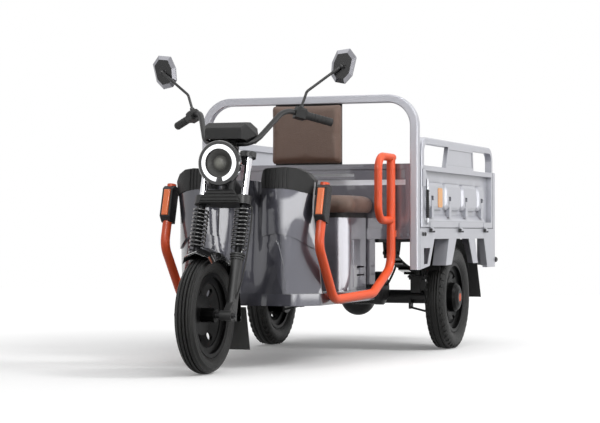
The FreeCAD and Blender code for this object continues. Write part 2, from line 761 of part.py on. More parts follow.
def front_fender():
    """Peaked fender with stays to the legs, and the rubber flap behind the wheel."""
    inner = FRONT_TYRE_RADIUS + FENDER_GAP

    def section(inset):
        peak = inner + FENDER_PEAK - inset
        return [(-FENDER_HALF + inset, inner - 34), (-FENDER_HALF + 12, inner - 6 - inset * 0.6), (0, peak),
                (FENDER_HALF - 12, inner - 6 - inset * 0.6), (FENDER_HALF - inset, inner - 34)]

    outline = section(0) + list(reversed(section(SHEET)))
    profile = face([V(x, r, 0) for x, r in outline])
    sweep = FENDER_FRONT_ANGLE - FENDER_REAR_ANGLE
    profile.rotate(V(0, 0, 0), V(1, 0, 0), FENDER_REAR_ANGLE)
    arch = profile.revolve(V(0, 0, 0), V(1, 0, 0), sweep)
    arch = at_front_axle(arch)
    stays = []
    for side in (-1, 1):
        stay = box(FENDER_HALF - SHEET, LEG_INNER_X - 2, -LUG_HALF, LUG_HALF, *FENDER_LUG)
        stay = on_fork(stay if side > 0 else mirrored(stay))
        stays.append(stay)
    arch = fuse(arch, *stays)

    back = FRONT_AXLE_Y + inner + FENDER_PEAK + SLIP
    top = FRONT_TYRE_RADIUS + 22
    corners = [(-FENDER_HALF, top), (FENDER_HALF, top), (FLAP_HALF, FLAP_FOOT_Z), (-FLAP_HALF, FLAP_FOOT_Z)]
    flap = prism_y(corners, back, back + FLAP_THICK)
    return [arch, flap]


# Headlight and instruments
def headlight_housing():
    """Round shell with bezel, lamp seat and two ears to the fork tubes."""
    y0, y1 = LAMP_Y, LAMP_Y + LAMP_DEPTH
    shell = turned_y([
        (y0, RING_OUTER + SLIP), (y0, BEZEL_RADIUS - 4), (y0 + 5, BEZEL_RADIUS), (y0 + 20, BEZEL_RADIUS),
        (y0 + 26, BEZEL_RADIUS - 5), (y0 + 52, BEZEL_RADIUS - 14), (y1 - 12, BEZEL_RADIUS - 38),
        (y1, 20), (y1, 0), (y0 + LAMP_SEAT, 0), (y0 + LAMP_SEAT, RING_INNER), (y0 + RING_SEAT, RING_INNER),
        (y0 + RING_SEAT, RING_OUTER + SLIP)], LAMP_Z)
    ears = []
    for side in (-1, 1):
        ear = box(30, LEG_X, -16, 16, *LAMP_EARS)
        ear = ear if side > 0 else mirrored(ear)
        ears.append(on_fork(ear))
    holes = [on_fork(s) for s in both_sides(rod_z(LEG_X, 0, 600, 700, TUBE_RADIUS + SLIP))]
    cavity = rod(V(0, y0, LAMP_Z), V(0, y0 + LAMP_SEAT, LAMP_Z), RING_INNER)
    return fuse(shell, *ears).cut(holes + [cavity])


def headlight_ring():
    """Light ring, open at the bottom."""
    y0 = LAMP_Y - 2
    y1 = LAMP_Y + RING_SEAT
    ring = turned_y([(y0, RING_INNER + 2), (y0, RING_OUTER - 2), (y0 + 2, RING_OUTER), (y1, RING_OUTER),
                     (y1, RING_INNER), (y0 + 2, RING_INNER)], LAMP_Z)
    reach = BEZEL_RADIUS
    wide = reach * math.tan(math.radians(RING_GAP / 2))
    wedge = prism_y([(0, LAMP_Z), (wide, LAMP_Z - reach), (-wide, LAMP_Z - reach)], y0 - 10, LAMP_Y + 40)
    return ring.cut(wedge)


def headlight_lens():
    """Reflector with the projector lens in the middle."""
    y0 = LAMP_Y + LAMP_SEAT
    r = RING_INNER - SLIP
    bowl = turned_y([(y0, 0), (y0, r), (y0 - 26, r), (y0 - 26, r - 4), (y0 - 12, r - 22), (y0 - 10, 29),
                     (y0 - 22, 29), (y0 - 31, 20), (y0 - 35, 10), (y0 - 36, 0)], LAMP_Z)
    return bowl


def pod_plan(inset):
    front, rear = POD_FRONT_Y + inset, POD_REAR_Y - inset
    nose, middle, tail = POD_FRONT_HALF - inset, POD_WIDE_HALF - inset, POD_REAR_HALF - inset
    return [(-nose, front), (nose, front), (middle, POD_WIDE_Y), (tail, rear), (-tail, rear),
            (-middle, POD_WIDE_Y)]


def pod_side(inset):
    front, rear = POD_FRONT_Y + inset, POD_REAR_Y - inset
    top = POD_TOP_Z - inset
    return [(front, POD_FOOT_Z + 14), (front, top - 26), (front + 40, top - 2), (POD_WIDE_Y + 10, top),
            (rear, top - 42), (rear, POD_FOOT_Z), (POD_WIDE_Y, POD_FOOT_Z)]


def pod_front(inset):
    top, foot = POD_TOP_HALF - inset, POD_FOOT_HALF - inset
    middle = POD_WIDE_HALF + 2 - inset
    high, low = POD_TOP_Z + 5, POD_FOOT_Z - 5
    return [(-top, high), (top, high), (middle, POD_WIDE_Z), (foot, low), (-foot, low), (-middle, POD_WIDE_Z)]


def pod_block(inset):
    """Six-sided block seen from above, from the side and from the front."""
    plan = prism_z(pod_plan(inset), POD_FOOT_Z - 5, POD_TOP_Z + 5)
    side = prism_x(pod_side(inset), -POD_WIDE_HALF, POD_WIDE_HALF)
    return plan.common(side).common(prism_y(pod_front(inset), POD_FRONT_Y - 1, POD_REAR_Y + 1))


def pod_screen_place():
    """Middle of the sloping rear face, with Z out of it."""
    low = V(0, POD_REAR_Y, POD_TOP_Z - 42)
    high = V(0, POD_WIDE_Y + 10, POD_TOP_Z)
    slope = math.degrees(math.atan2(high.z - low.z, high.y - low.y))
    return FreeCAD.Placement((low + high) * 0.5, FreeCAD.Rotation(V(1, 0, 0), slope + 180))


def instrument_pod():
    """Hollow hood over the bar clamp, with a screen recess facing the rider."""
    wall = POD_WALL
    hood = softened(pod_block(0), POD_ROUNDING, lambda p: p.z > POD_FOOT_Z + 20 and p.y < POD_WIDE_Y + 5)
    mouth = prism_z(pod_plan(wall), POD_FOOT_Z - 6, POD_FOOT_Z + 18)
    mouth = mouth.common(prism_y(pod_front(wall), POD_FRONT_Y, POD_REAR_Y))
    hollow = pod_block(wall).fuse(mouth)
    boss_foot = UPPER_YOKE[1] + BAR_CLAMP_HEIGHT
    boss = on_fork(rod_z(0, BAR_SETBACK, boss_foot, boss_foot + 120, 14))
    below = box(-40, 40, POD_FRONT_Y, POD_REAR_Y, POD_FOOT_Z - 30, POD_FOOT_Z + 40)
    boss = boss.common(prism_x(pod_side(1), -40, 40).fuse(below))
    recess = box(-SCREEN_HALF, SCREEN_HALF, -SCREEN_RISE, SCREEN_RISE, -SCREEN_THICK, 5)
    recess = placed(recess, pod_screen_place())
    passage = tube(bar_line(), [0, BAR_BEND, BAR_BEND, 0], BAR_RADIUS + 3)
    return hood.cut(hollow).fuse(boss).cut([recess, passage, mirrored(passage)])


def instrument_screen():
    half, rise = SCREEN_HALF - SLIP, SCREEN_RISE - SLIP
    plate = box(-half, half, -rise, rise, -SCREEN_THICK, 0)
    return placed(plate, pod_screen_place())


# Handlebar
def bar_line():
    """Corner points of the bar from its middle to the left end."""
    middle = FORK.multVec(V(0, BAR_SETBACK, UPPER_YOKE[1] + BAR_CLAMP_RISE))
    return [middle, middle + V(BAR_SHOULDER_X, 0, 0), BAR_RISE, BAR_END]


def handlebar():
    half = bar_line()
    left = half[1:]
    right = [V(-p.x, p.y, p.z) for p in reversed(left)]
    return tube(right + left, [0, BAR_BEND, BAR_BEND, BAR_BEND, BAR_BEND, 0], BAR_RADIUS)


def grip_place(back):
    """Axes on the bar, Z towards its end and Y up, a length back from the end."""
    along = (BAR_END - BAR_RISE).normalize()
    side = V(0, 0, 1).cross(along).normalize()
    up = along.cross(side)
    turn = FreeCAD.Rotation(side, up, along, "ZXY")
    return FreeCAD.Placement(BAR_END - along * back, turn)


def grip():
    """Ribbed sleeve, closed at its end."""
    sleeve = rod_z(0, 0, 0, GRIP_LENGTH + GRIP_END, GRIP_RADIUS)
    flange = rod_z(0, 0, 0, 6, GRIP_RADIUS + 4)
    sleeve = fuse(sleeve, flange)
    sleeve = sleeve.cut(rod_z(0, 0, -1, GRIP_LENGTH + SLIP, BAR_RADIUS + SNUG))
    for i in range(GRIP_RINGS):
        z = 20 + i * GRIP_RING_PITCH
        ring = rod_z(0, 0, z, z + 4, GRIP_RADIUS + 1).cut(rod_z(0, 0, z - 1, z + 5, GRIP_RADIUS - 1.5))
        sleeve = sleeve.cut(ring)
    return placed(sleeve, grip_place(GRIP_LENGTH))


def switch_pod():
    """Switch block round the bar with a flat foot for the mirror stem."""
    half = 21.0
    body = prism_z([(-half, -18), (half - 6, -24), (half, -10), (half, 16), (10, 26), (-10, 26), (-half, 16)],
                   0, SWITCH_LENGTH)
    keys = []
    for i in range(3):
        z = 8 + i * 13
        keys.append(box(half, half + 4, -8, 8, z, z + 8))
    body = fuse(body, *keys).cut(rod_z(0, 0, -1, SWITCH_LENGTH + 1, BAR_RADIUS + SNUG))
    return placed(body, grip_place(GRIP_LENGTH + SWITCH_LENGTH + 1))


def mirror_stems():
    """Bent stem from the switch block to the ball behind the mirror."""
    foot = grip_place(GRIP_LENGTH + SWITCH_LENGTH / 2 + 1).multVec(V(0, 26, 0))
    up = grip_place(0).Rotation.multVec(V(0, 1, 0))
    ball = MIRROR_CENTRE - V(0, MIRROR_SOCKET, 0)
    stem = tube([foot + up * 5, MIRROR_KNEE, ball], [0, 26, 0], STEM_TUBE_RADIUS)
    nut = rod(foot, foot + up * 9, STEM_TUBE_RADIUS + 4)
    stem = fuse(stem, nut).fuse(Part.makeSphere(MIRROR_BALL, ball))
    return both_sides(stem)


# Mirrors
def mirror_face(y, share):
    points = [MIRROR_CENTRE + V(x * share, y, z * share) for x, z in MIRROR_OUTLINE]
    return Part.makePolygon(points + [points[0]])


def mirror_head():
    """Eight-sided shell with bevelled rim and a half socket on its back."""
    rim_part = Part.makeLoft([mirror_face(0, 1.0), mirror_face(MIRROR_RIM, 1.0)], True, True)
    bevel = Part.makeLoft([mirror_face(-MIRROR_DEPTH * 0.55, 0.74), mirror_face(0, 1.0)], True, True)
    ball = MIRROR_CENTRE - V(0, MIRROR_SOCKET, 0)
    boss = rod(ball + V(0, MIRROR_BALL * 0.75, 0), MIRROR_CENTRE, MIRROR_BALL + 3)
    recess = Part.makeLoft([mirror_face(3, 0.9), mirror_face(MIRROR_RIM + 1, 0.9)], True, True)
    return fuse(rim_part, bevel, boss).cut([recess, Part.makeSphere(MIRROR_BALL + SLIP, ball)])


def mirror_glass():
    return Part.makeLoft([mirror_face(3, 0.89), mirror_face(6, 0.89)], True, True)


# Leg shield
def shield_row(level, ahead):
    """Front line of the shield at one height, moved forward by a distance."""
    z, centre, crest, edge_x, edge_y = level
    step = centre * 0.35 + crest * 0.65
    half = [(0, centre), (60, centre), (98, step), (150, crest), (205, crest + 3),
            (255, crest * 0.62 + edge_y * 0.38), (edge_x, edge_y)]
    row = [V(-x, y - ahead, z) for x, y in reversed(half[1:])] + [V(x, y - ahead, z) for x, y in half]
    curve = Part.BSplineCurve()
    curve.interpolate(row)
    return curve.toShape(), row[0], row[-1]


def shield_layer(ahead, behind):
    """Shell between two lines moved forward and backward from the shield's front."""
    wires = []
    for level in SHIELD_LEVELS:
        front, a, b = shield_row(level, ahead)
        back, c, d = shield_row(level, -behind)
        wires.append(Part.Wire([front, Part.makeLine(b, d), back, Part.makeLine(c, a)]))
    return Part.makeLoft(wires, True, False)


def shield_window(half_outline):
    """Tall block with a mirrored (X, Z) outline, to trim a shell."""
    points = half_outline + [(-x, z) for x, z in reversed(half_outline) if x > 0]
    return prism_y(points, *SHIELD_DEPTHS)


def shield_top(drop):
    return [(x, z - drop) for x, z in SHIELD_TOP]


def leg_shield():
    """Lower apron, raised upper bulges and a pressed rib on each side."""
    base = shield_layer(0, SHIELD_WALL)
    edge = SHIELD_EDGE_X
    outline = [(0, SHIELD_NOTCH_Z)] + shield_top(CAP_LIP) + [(edge, FLOOR_Z), (0, FLOOR_Z)]
    body = base.common(shield_window(outline))
    crease = [(edge, 470), (290, 486), (245, 520), (201, 541), (150, 543), (97, 532)]
    arch = shield_top(CAP_LIP) + crease
    raised = shield_layer(BULGE_HEIGHT, SHIELD_WALL - 1)
    rib = [(112, 508), (168, 512), (190, 420), (200, 318), (178, 318), (150, 420)]
    low_layer = shield_layer(RIB_HEIGHT, SHIELD_WALL - 1)
    parts = []
    for side in (-1, 1):
        for shell, shape in ((raised, arch), (low_layer, rib)):
            block = prism_y([(side * x, z) for x, z in shape], *SHIELD_DEPTHS)
            parts.append(shell.common(block))
    body = body.fuse(parts).removeSplitter()
    return body.cut(backbone_tube(BACKBONE_RADIUS + 2))


def shield_caps():
    """Ribbed cover hooked over the top edge of each half."""
    front = BULGE_HEIGHT + SLIP
    arch = shield_top(0) + [(SHIELD_EDGE_X, 684), (285, 704), (240, 718), (190, 725), (97, 726)]
    inner = shield_top(CAP_LIP - SLIP) + [(340, 600), (60, 600)]
    shell = shield_layer(front + CAP_WALL, CAP_BACK_DEPTH)
    gap = shield_layer(front, CAP_BACK_DEPTH - CAP_WALL)
    cap = shell.common(prism_y(arch, *SHIELD_DEPTHS))
    cap = cap.cut(gap.common(prism_y(inner, *SHIELD_DEPTHS)))
    grooves = []
    for i in range(CAP_RIBS):
        x = 112 + i * CAP_RIB_PITCH
        right = x + CAP_RIB_PITCH * 0.45
        grooves.append(prism_y([(x, 600), (right, 600), (right, 900), (x, 900)], *SHIELD_DEPTHS))
    skin = shield_layer(front + CAP_WALL + 4, -front - CAP_WALL + CAP_GROOVE)
    for lane in grooves:
        cap = cap.cut(skin.common(lane))
    return both_sides(cap)


# Floor and front frame
def floor_outline(inset, rear):
    side, front = FLOOR_HALF - inset, FLOOR_FRONT_Y + inset
    nose = FLOOR_FRONT_HALF - inset * 0.6
    corner = FLOOR_CORNER_Y + inset * 0.3
    points = [(-side, rear), (-side, corner), (-nose, front), (nose, front), (side, corner), (side, rear)]
    return points


def floor_block(inset, rear, z0, z1):
    points = [V(x, y, z0) for x, y in floor_outline(inset, rear)]
    wire = rounded_wire(points, [0, 50, 50, 50, 50, 0])
    return Part.Face(wire).extrude(V(0, 0, z1 - z0))


def floor_pan():
    """Tray with a deep lip, tread ribs and the pedal bracket."""
    tray = floor_block(0, 0, FLOOR_Z - FLOOR_LIP, FLOOR_Z)
    tray = tray.cut(floor_block(SHEET, 20, FLOOR_Z - FLOOR_LIP - 1, FLOOR_Z - SHEET))
    ribs = []
    for i in range(TREAD_RIBS):
        x = (i - (TREAD_RIBS - 1) / 2) * TREAD_PITCH
        if abs(x) > 1 and abs(x - PEDAL_X) > 20:
            ribs.append(box(x - 5, x + 5, -650, -320, FLOOR_Z - 1, FLOOR_Z + TREAD_RISE))
    ears = []
    for side in (-1, 1):
        x = PEDAL_X + side * 18
        y, foot, top = PEDAL_PIVOT_Y, FLOOR_Z - 1, PEDAL_PIVOT_Z + 10
        ears.append(prism_x([(y - 16, foot), (y + 16, foot), (y + 9, top), (y - 9, top)], x - 2.5, x + 2.5))
    pin = rod_x(PEDAL_X - 22, PEDAL_X + 22, PEDAL_PIVOT_Y, PEDAL_PIVOT_Z, PIN_RADIUS)
    return fuse(tray, *(ribs + ears + [pin]))


def backbone_tube(radius):
    head = FORK.multVec(V(0, STEM_SETBACK, (LOWER_YOKE[1] + UPPER_YOKE[0]) / 2))
    return tube([head, BACKBONE_KNEE, BACKBONE_FOOT], [0, 70, 0], radius)


def front_frame():
    """Head tube with backbone and foot, and the ladder of rails below the floor."""
    low, high = LOWER_YOKE[1] + BEARING_HEIGHT, UPPER_YOKE[0] - BEARING_HEIGHT
    head = on_fork(rod_z(0, STEM_SETBACK, low, high, HEAD_TUBE_RADIUS))
    bore = on_fork(rod_z(0, STEM_SETBACK, low - 1, high + 1, STEM_RADIUS + 2))
    foot = box(-55, 55, -740, -640, FLOOR_Z, FLOOR_Z + 6)
    neck = fuse(head, backbone_tube(BACKBONE_RADIUS), foot).cut(bore)
    neck = neck.cut(box(-80, 80, -800, -600, FLOOR_Z - 60, FLOOR_Z))

    side, top = RAIL_SIZE / 2, FLOOR_Z - SHEET
    foot_z = top - RAIL_HEIGHT
    riser_y0, riser_y1 = HOOP_REAR_Y + 1, HOOP_REAR_Y + 41
    inner = RAIL_X - side
    ladder = []
    for x in (-RAIL_X, RAIL_X):
        ladder.append(box(x - side, x + side, FLOOR_FRONT_Y + 37, riser_y1, foot_z, top))
        ladder.append(box(x - side, x + side, riser_y0, riser_y1, top, BED_FOOT_Z))
    for y in FLOOR_CROSS_Y:
        ladder.append(box(-inner, inner, y, y + RAIL_SIZE, foot_z, top))
    return [neck] + ladder


def head_bearings():
    rings = []
    for z0, z1 in ((LOWER_YOKE[1] + SLIP, LOWER_YOKE[1] + BEARING_HEIGHT),
                   (UPPER_YOKE[0] - BEARING_HEIGHT, UPPER_YOKE[0] - SLIP)):
        ring = rod_z(0, STEM_SETBACK, z0, z1, HEAD_TUBE_RADIUS - 2)
        rings.append(on_fork(ring.cut(rod_z(0, STEM_SETBACK, z0 - 1, z1 + 1, STEM_RADIUS + SNUG))))
    return rings


# Crash bars and signals
def crash_bar():
    """Bent side bar with mounting tabs, and the grab loop welded to it, left side."""
    bar = tube(CRASH_POINTS, CRASH_BENDS, CRASH_RADIUS)
    post = CRASH_POINTS[-1]
    front = post.y - LOOP_REACH
    loop = tube([V(post.x, post.y + LOOP_STUB, LOOP_TOP_Z), V(post.x, front, LOOP_TOP_Z),
                 V(post.x, front, LOOP_FOOT_Z), V(post.x, post.y, LOOP_FOOT_Z)],
                [0, LOOP_BEND, LOOP_BEND, 0], LOOP_RADIUS)
    tabs = []
    low, high = CRASH_POINTS[2], CRASH_POINTS[3]
    for share in (0.25, 0.82):
        at = low + (high - low) * share
        tabs.append(box(FLOOR_HALF, at.x, at.y - 20, at.y + 20, at.z - 6, at.z + 6))
    tabs.append(box(post.x - 14, post.x + 14, post.y, HEADBOARD_FRONT_Y, SILL_Z + 10, SILL_Z + 38))
    return [bar.cut(loop).fuse(tabs).removeSplitter(), loop]


def crash_bars():
    left = crash_bar()
    return left + [mirrored(s) for s in left]


def signal_place():
    top, low = CRASH_POINTS[0], CRASH_POINTS[1]
    share = (top.z - SIGNAL_Z) / (top.z - low.z)
    lean = math.degrees(math.atan2(top.y - low.y, top.z - low.z))
    return FreeCAD.Placement(top + (low - top) * share, FreeCAD.Rotation(V(1, 0, 0), -lean))


def signal_housings():
    body = prism_x(SIGNAL_SIDE, -SIGNAL_HALF, SIGNAL_HALF)
    body = softened(body, 6, lambda p: abs(p.z) < 77 and p.y < 23.9)
    half = LENS_HALF + SLIP
    seat = box(-half, half, -40, -30, LENS_FOOT - SLIP, LENS_TOP + SLIP)
    bore = rod_z(0, 0, -100, 100, CRASH_RADIUS + SLIP)
    return both_sides(placed(body.cut([seat, bore]), signal_place()))


def signal_lenses():
    lens = box(-LENS_HALF, LENS_HALF, -41, -30, LENS_FOOT, LENS_TOP)
    lens = softened(lens, 4, lambda p: p.y < -31)
    return both_sides(placed(lens, signal_place()))


# Seat
def seat_outline(half, front, back, corner, z):
    points = [V(-half, back, z), V(-half, front, z), V(half, front, z), V(half, back, z)]
    return rounded_wire(points, [6, corner, corner, 6])


def seat_block(inset, z0, z1):
    wire = seat_outline(SEAT_BOX_HALF - inset, SEAT_BOX_FRONT_Y + inset, SEAT_BOX_BACK_Y - inset,
                        SEAT_BOX_CORNER - inset, z0)
    return Part.Face(wire).extrude(V(0, 0, z1 - z0))


def seat_box():
    """Open-topped box with an access panel on each side and two hinge pins in front."""
    body = seat_block(0, FLOOR_Z, SEAT_BOX_TOP_Z)
    side_x, top = SEAT_BOX_HALF, SEAT_BOX_TOP_Z
    panels = both_sides(box(side_x - 1, side_x + SHEET, -180, -18, FLOOR_Z + 10, top - 96))
    slots = []
    for z in (FLOOR_Z + 60, FLOOR_Z + 95):
        slots += both_sides(box(side_x - 10, side_x + 10, -140, -40, z, z + 7))
    body = body.cut(seat_block(SHEET, FLOOR_Z - 1, top + 1)).fuse(panels).cut(slots)
    front, y, z = SEAT_BOX_FRONT_Y, SEAT_HINGE_Y, SEAT_HINGE_Z
    ear = [(front + 2, top - 40), (front + 2, top - 4), (front - 3, top), (y + 7, z + 7), (y - 7, z + 7),
           (y - 7, z - 8)]
    ears = []
    for x in (-SEAT_HINGE_X, SEAT_HINGE_X):
        for side in (-1, 1):
            at = x + side * (SEAT_HINGE_HALF + 3)
            ears.append(prism_x(ear, at - 2, at + 2))
        reach = SEAT_HINGE_HALF + 3
        ears.append(rod_x(x - reach, x + reach, SEAT_HINGE_Y, SEAT_HINGE_Z, PIN_RADIUS))
    return fuse(body, *ears)


def seat_pan():
    """Upturned tray on the box rim with hinge knuckles."""
    low = SEAT_BOX_TOP_Z + SLIP
    tray = seat_block(0, low, SEAT_PAN_TOP_Z).cut(seat_block(SHEET + 1, low - 1, SEAT_PAN_TOP_Z - 4))
    knuckles = []
    for x in (-SEAT_HINGE_X, SEAT_HINGE_X):
        half = SEAT_HINGE_HALF - 4
        y, z = SEAT_HINGE_Y, SEAT_HINGE_Z
        knuckles.append(rod_x(x - half, x + half, y, z, KNUCKLE_RADIUS))
        knuckles.append(box(x - half, x + half, y, SEAT_BOX_FRONT_Y + 2, z + 2, SEAT_PAN_TOP_Z))
    body = fuse(tray, *knuckles)
    bore = rod_x(SEAT_HINGE_X - 40, SEAT_HINGE_X + 40, SEAT_HINGE_Y, SEAT_HINGE_Z, PIN_RADIUS + SNUG)
    return body.cut(both_sides(bore))


def crowned_pad(outlines):
    """Soft block lofted through outlines of lines and arcs."""
    return Part.makeLoft(outlines, True, False)


def seat_cushion():
    """Cushion with drawn-in lower side and crowned top."""
    rise = SEAT_TOP_Z - SEAT_PAN_TOP_Z
    rows = [(14, 0.0), (3, 0.22), (0, 0.5), (4, 0.78), (16, 0.94), (40, 1.0)]
    wires = []
    for inset, share in rows:
        z = SEAT_PAN_TOP_Z + rise * share
        back = SEAT_BOX_BACK_Y - inset * 0.5 - 2
        wires.append(seat_outline(SEAT_HALF - inset, SEAT_FRONT_Y + inset, back, SEAT_BOX_CORNER + 5, z))
    return crowned_pad(wires)


def backrest_pad():
    """Upright pad with rounded corners and a crowned front."""
    low = PANEL_TOP_Z - 4
    rows = [(6, 0.0), (0, 0.3), (0, 0.55), (6, 0.82), (24, 1.0)]
    wires = []
    for inset, share in rows:
        y = PAD_BACK_Y - BACKREST_THICK * share
        half, foot, top = BACKREST_HALF - inset, low + 4 + inset, BACKREST_TOP_Z - inset
        points = [V(-half, y, foot), V(half, y, foot), V(half, y, top), V(-half, y, top)]
        wires.append(rounded_wire(points, [BACKREST_CORNER] * 4))
    return crowned_pad(wires)


def backrest_board():
    """Board between headboard and hoop that carries the pad."""
    half = BACKREST_HALF - 10
    board = box(-half, half, PAD_BACK_Y, PAD_BACK_Y + 8, PANEL_TOP_Z, HOOP_TOP_Z - HOOP_WALL)
    ribs = [box(x - 8, x + 8, PAD_BACK_Y + 7, PAD_BACK_Y + 16, PANEL_TOP_Z, HOOP_TOP_Z - HOOP_WALL)
            for x in (-100, 100)]
    return fuse(board, *ribs)


def battery_pack():
    """Row of battery blocks with terminals."""
    blocks = []
    half, top = BATTERY_WIDTH / 2, FLOOR_Z + BATTERY_HEIGHT
    for i in range(BATTERIES):
        x = (i - (BATTERIES - 1) / 2) * (BATTERY_WIDTH + 1)
        block = box(x - half, x + half, -226, -36, FLOOR_Z, top)
        posts = [rod_z(x + side * half * 0.57, -60, top - 1, top + 10, 7) for side in (-1, 1)]
        blocks.append(fuse(block, *posts))
    return blocks


# Cargo box
def cargo_hoop():
    """Hoop over the front of the box, whose legs are the front posts."""
    outer, inner = BOX_HALF, HOOP_INNER
    low = HOOP_TOP_Z - HOOP_WALL
    points = [(-outer, HOOP_FOOT_Z), (-outer, HOOP_TOP_Z), (outer, HOOP_TOP_Z), (outer, HOOP_FOOT_Z),
              (inner, HOOP_FOOT_Z), (inner, low), (-inner, low), (-inner, HOOP_FOOT_Z)]
    tight = HOOP_CORNER - HOOP_WALL
    wire = rounded_wire([V(x, HOOP_FRONT_Y, z) for x, z in points],
                        [0, HOOP_CORNER, HOOP_CORNER, 0, 0, tight, tight, 0])
    hoop = Part.Face(wire).extrude(V(0, HOOP_DEPTH, 0))
    return softened(hoop, HOOP_EDGE, lambda p: p.z > HOOP_FOOT_Z + 1)


def headboard():
    """Sheet between the hoop legs with a top rail, a lower flange and the apron behind the seat box."""
    half = HOOP_INNER
    front, rear = HEADBOARD_FRONT_Y, HEADBOARD_FRONT_Y + HEADBOARD_DEPTH
    sheet = box(-half, half, front + 8, front + 8 + SHEET, SILL_Z + 10, PANEL_TOP_Z - 4)
    rail = box(-half, half, front, rear, PANEL_TOP_Z - TOP_RAIL, PANEL_TOP_Z)
    flange = box(-half, half, front, rear, SILL_Z, DECK_Z)
    apron = box(-FLOOR_HALF, FLOOR_HALF, front + 8, front + 8 + SHEET, FLOOR_Z + 20, SILL_Z + 1)
    edges = both_sides(box(half - 22, half, front, rear, DECK_Z - 1, PANEL_TOP_Z - TOP_RAIL + 1))
    bolts = []
    for x in (half - 46, half - 14):
        bolts += both_sides(rod(V(x, front - 5, SILL_Z + 18), V(x, front + 2, SILL_Z + 18), 7))
    return fuse(sheet, *([rail, flange, apron] + edges + bolts))


def cargo_floor():
    """Ribbed deck sheet."""
    half = BOX_HALF - RIM_DEPTH
    pitch = 2 * half / (DECK_RIBS + 0.4)
    crest = DECK_Z + DECK_RIB_RISE
    top = [(-half, DECK_Z)]
    for i in range(DECK_RIBS):
        x = (i - (DECK_RIBS - 1) / 2) * pitch
        top += [(x - 26, DECK_Z), (x - 17, crest), (x + 17, crest), (x + 26, DECK_Z)]
    top.append((half, DECK_Z))
    under = [(x, z - SHEET) for x, z in reversed(top)]
    return prism_y(top + under, HOOP_REAR_Y + 1, SILL_FRONT_Y)


def bed_frame():
    """Two rails with cross members below the deck, and the four spring hangers."""
    side, top = RAIL_SIZE / 2, DECK_UNDER_Z
    front, rear = HOOP_REAR_Y + 1, SILL_FRONT_Y
    inner, outer = BED_RAIL_X - side, BED_RAIL_X + side
    rim_x = BOX_HALF - RIM_DEPTH
    bars = both_sides(box(inner, outer, front, rear, BED_FOOT_Z, top))
    behind_axle = REAR_AXLE_Y + 0.47 * (BOX_REAR_Y - REAR_AXLE_Y)
    for y in (front, CONTROLLER_Y, behind_axle, rear - RAIL_SIZE):
        bars.append(box(-inner, inner, y, y + RAIL_SIZE, BED_FOOT_Z, top))
        bars += both_sides(box(outer, rim_x, y, y + RAIL_SIZE, BED_FOOT_Z + 20, top))
    for y in (REAR_AXLE_Y - SPRING_HALF_SPAN, REAR_AXLE_Y + SPRING_HALF_SPAN):
        bars += both_sides(spring_hanger(y))
    return bars


def spring_hanger(y):
    """Bracket with a pin through the spring eye, left side."""
    inside = LEAF_WIDTH / 2 + 0.5
    plate = 5.0
    low = EYE_Z - 24
    cheeks = []
    for side in (-1, 1):
        x = BED_RAIL_X + side * (inside + plate / 2)
        cheeks.append(prism_x([(y - 32, BED_FOOT_Z), (y + 32, BED_FOOT_Z), (y + 16, low), (y - 16, low)],
                              x - plate / 2, x + plate / 2))
    reach = inside + plate
    top = box(BED_RAIL_X - reach, BED_RAIL_X + reach, y - 32, y + 32, BED_FOOT_Z - plate, BED_FOOT_Z)
    pin = rod_x(BED_RAIL_X - reach - 8, BED_RAIL_X + reach + 8, y, EYE_Z, EYE_PIN_RADIUS)
    return fuse(top, *(cheeks + [pin]))


def controller():
    """Finned motor controller below a cross member."""
    y0, y1 = CONTROLLER_Y - 30, CONTROLLER_Y + 70
    top = BED_FOOT_Z
    body = box(-CONTROLLER_HALF, CONTROLLER_HALF, y0, y1, top - 42, top)
    fins = []
    for i in range(CONTROLLER_FINS):
        x = (i - (CONTROLLER_FINS - 1) / 2) * 25
        fins.append(box(x - 2, x + 2, y0, y1, top - 56, top - 41))
    return fuse(body, *fins)


def folded_edge(edge, thick, depth):
    """Flange turned inwards along a (Y, Z) edge of a skirt sheet, left side."""
    (y0, z0), (y1, z1) = edge
    fold = [(y0, z0), (y1, z1), (y1 + thick, z1), (y0 + thick, z0)]
    return prism_x(fold, BOX_HALF - depth, BOX_HALF - SKIRT_SHEET + 1)


def side_skirt():
    """Side rail, and the pressed bracket, two struts and rear panel below it, left side."""
    outer, inner = BOX_HALF, BOX_HALF - RIM_DEPTH
    skin = outer - SKIRT_SHEET
    start, end = HOOP_REAR_Y, BOX_REAR_Y
    rail = box(inner, outer, start, end, SILL_Z, DECK_Z)

    bracket = prism_x([(start, SILL_Z), SKIRT_FRONT[0], SKIRT_FRONT[1], (start, SKIRT_FOOT_Z)], skin, outer)
    bracket = bracket.cut(prism_x(SKIRT_WINDOW, skin - 1, outer + 1))
    bracket = fuse(bracket, folded_edge(SKIRT_FRONT, -SKIRT_SHEET, FOLD_DEPTH / 2))

    front = fuse(prism_x(STRUT_FRONT, skin, outer),
                 folded_edge((STRUT_FRONT[0], STRUT_FRONT[3]), SKIRT_SHEET, FOLD_DEPTH))
    rear = fuse(prism_x(STRUT_REAR, skin, outer),
                folded_edge((STRUT_REAR[1], STRUT_REAR[2]), -SKIRT_SHEET, FOLD_DEPTH))

    panel = prism_x([SKIRT_REAR[0], (end, SILL_Z), (end, SKIRT_FOOT_Z), SKIRT_REAR[1]], skin, outer)
    back = box(outer - 92, skin + 1, end - SKIRT_SHEET, end, SKIRT_FOOT_Z, SILL_Z)
    step = box(outer - 24, outer, SKIRT_REAR[1][0], end, SKIRT_FOOT_Z - 9, SKIRT_FOOT_Z + 13)
    panel = fuse(panel, folded_edge(SKIRT_REAR, SKIRT_SHEET, FOLD_DEPTH / 2), back, step)
    return [rail, bracket, front, rear, panel]


def side_skirts():
    left = side_skirt()
    return left + [mirrored(s) for s in left]


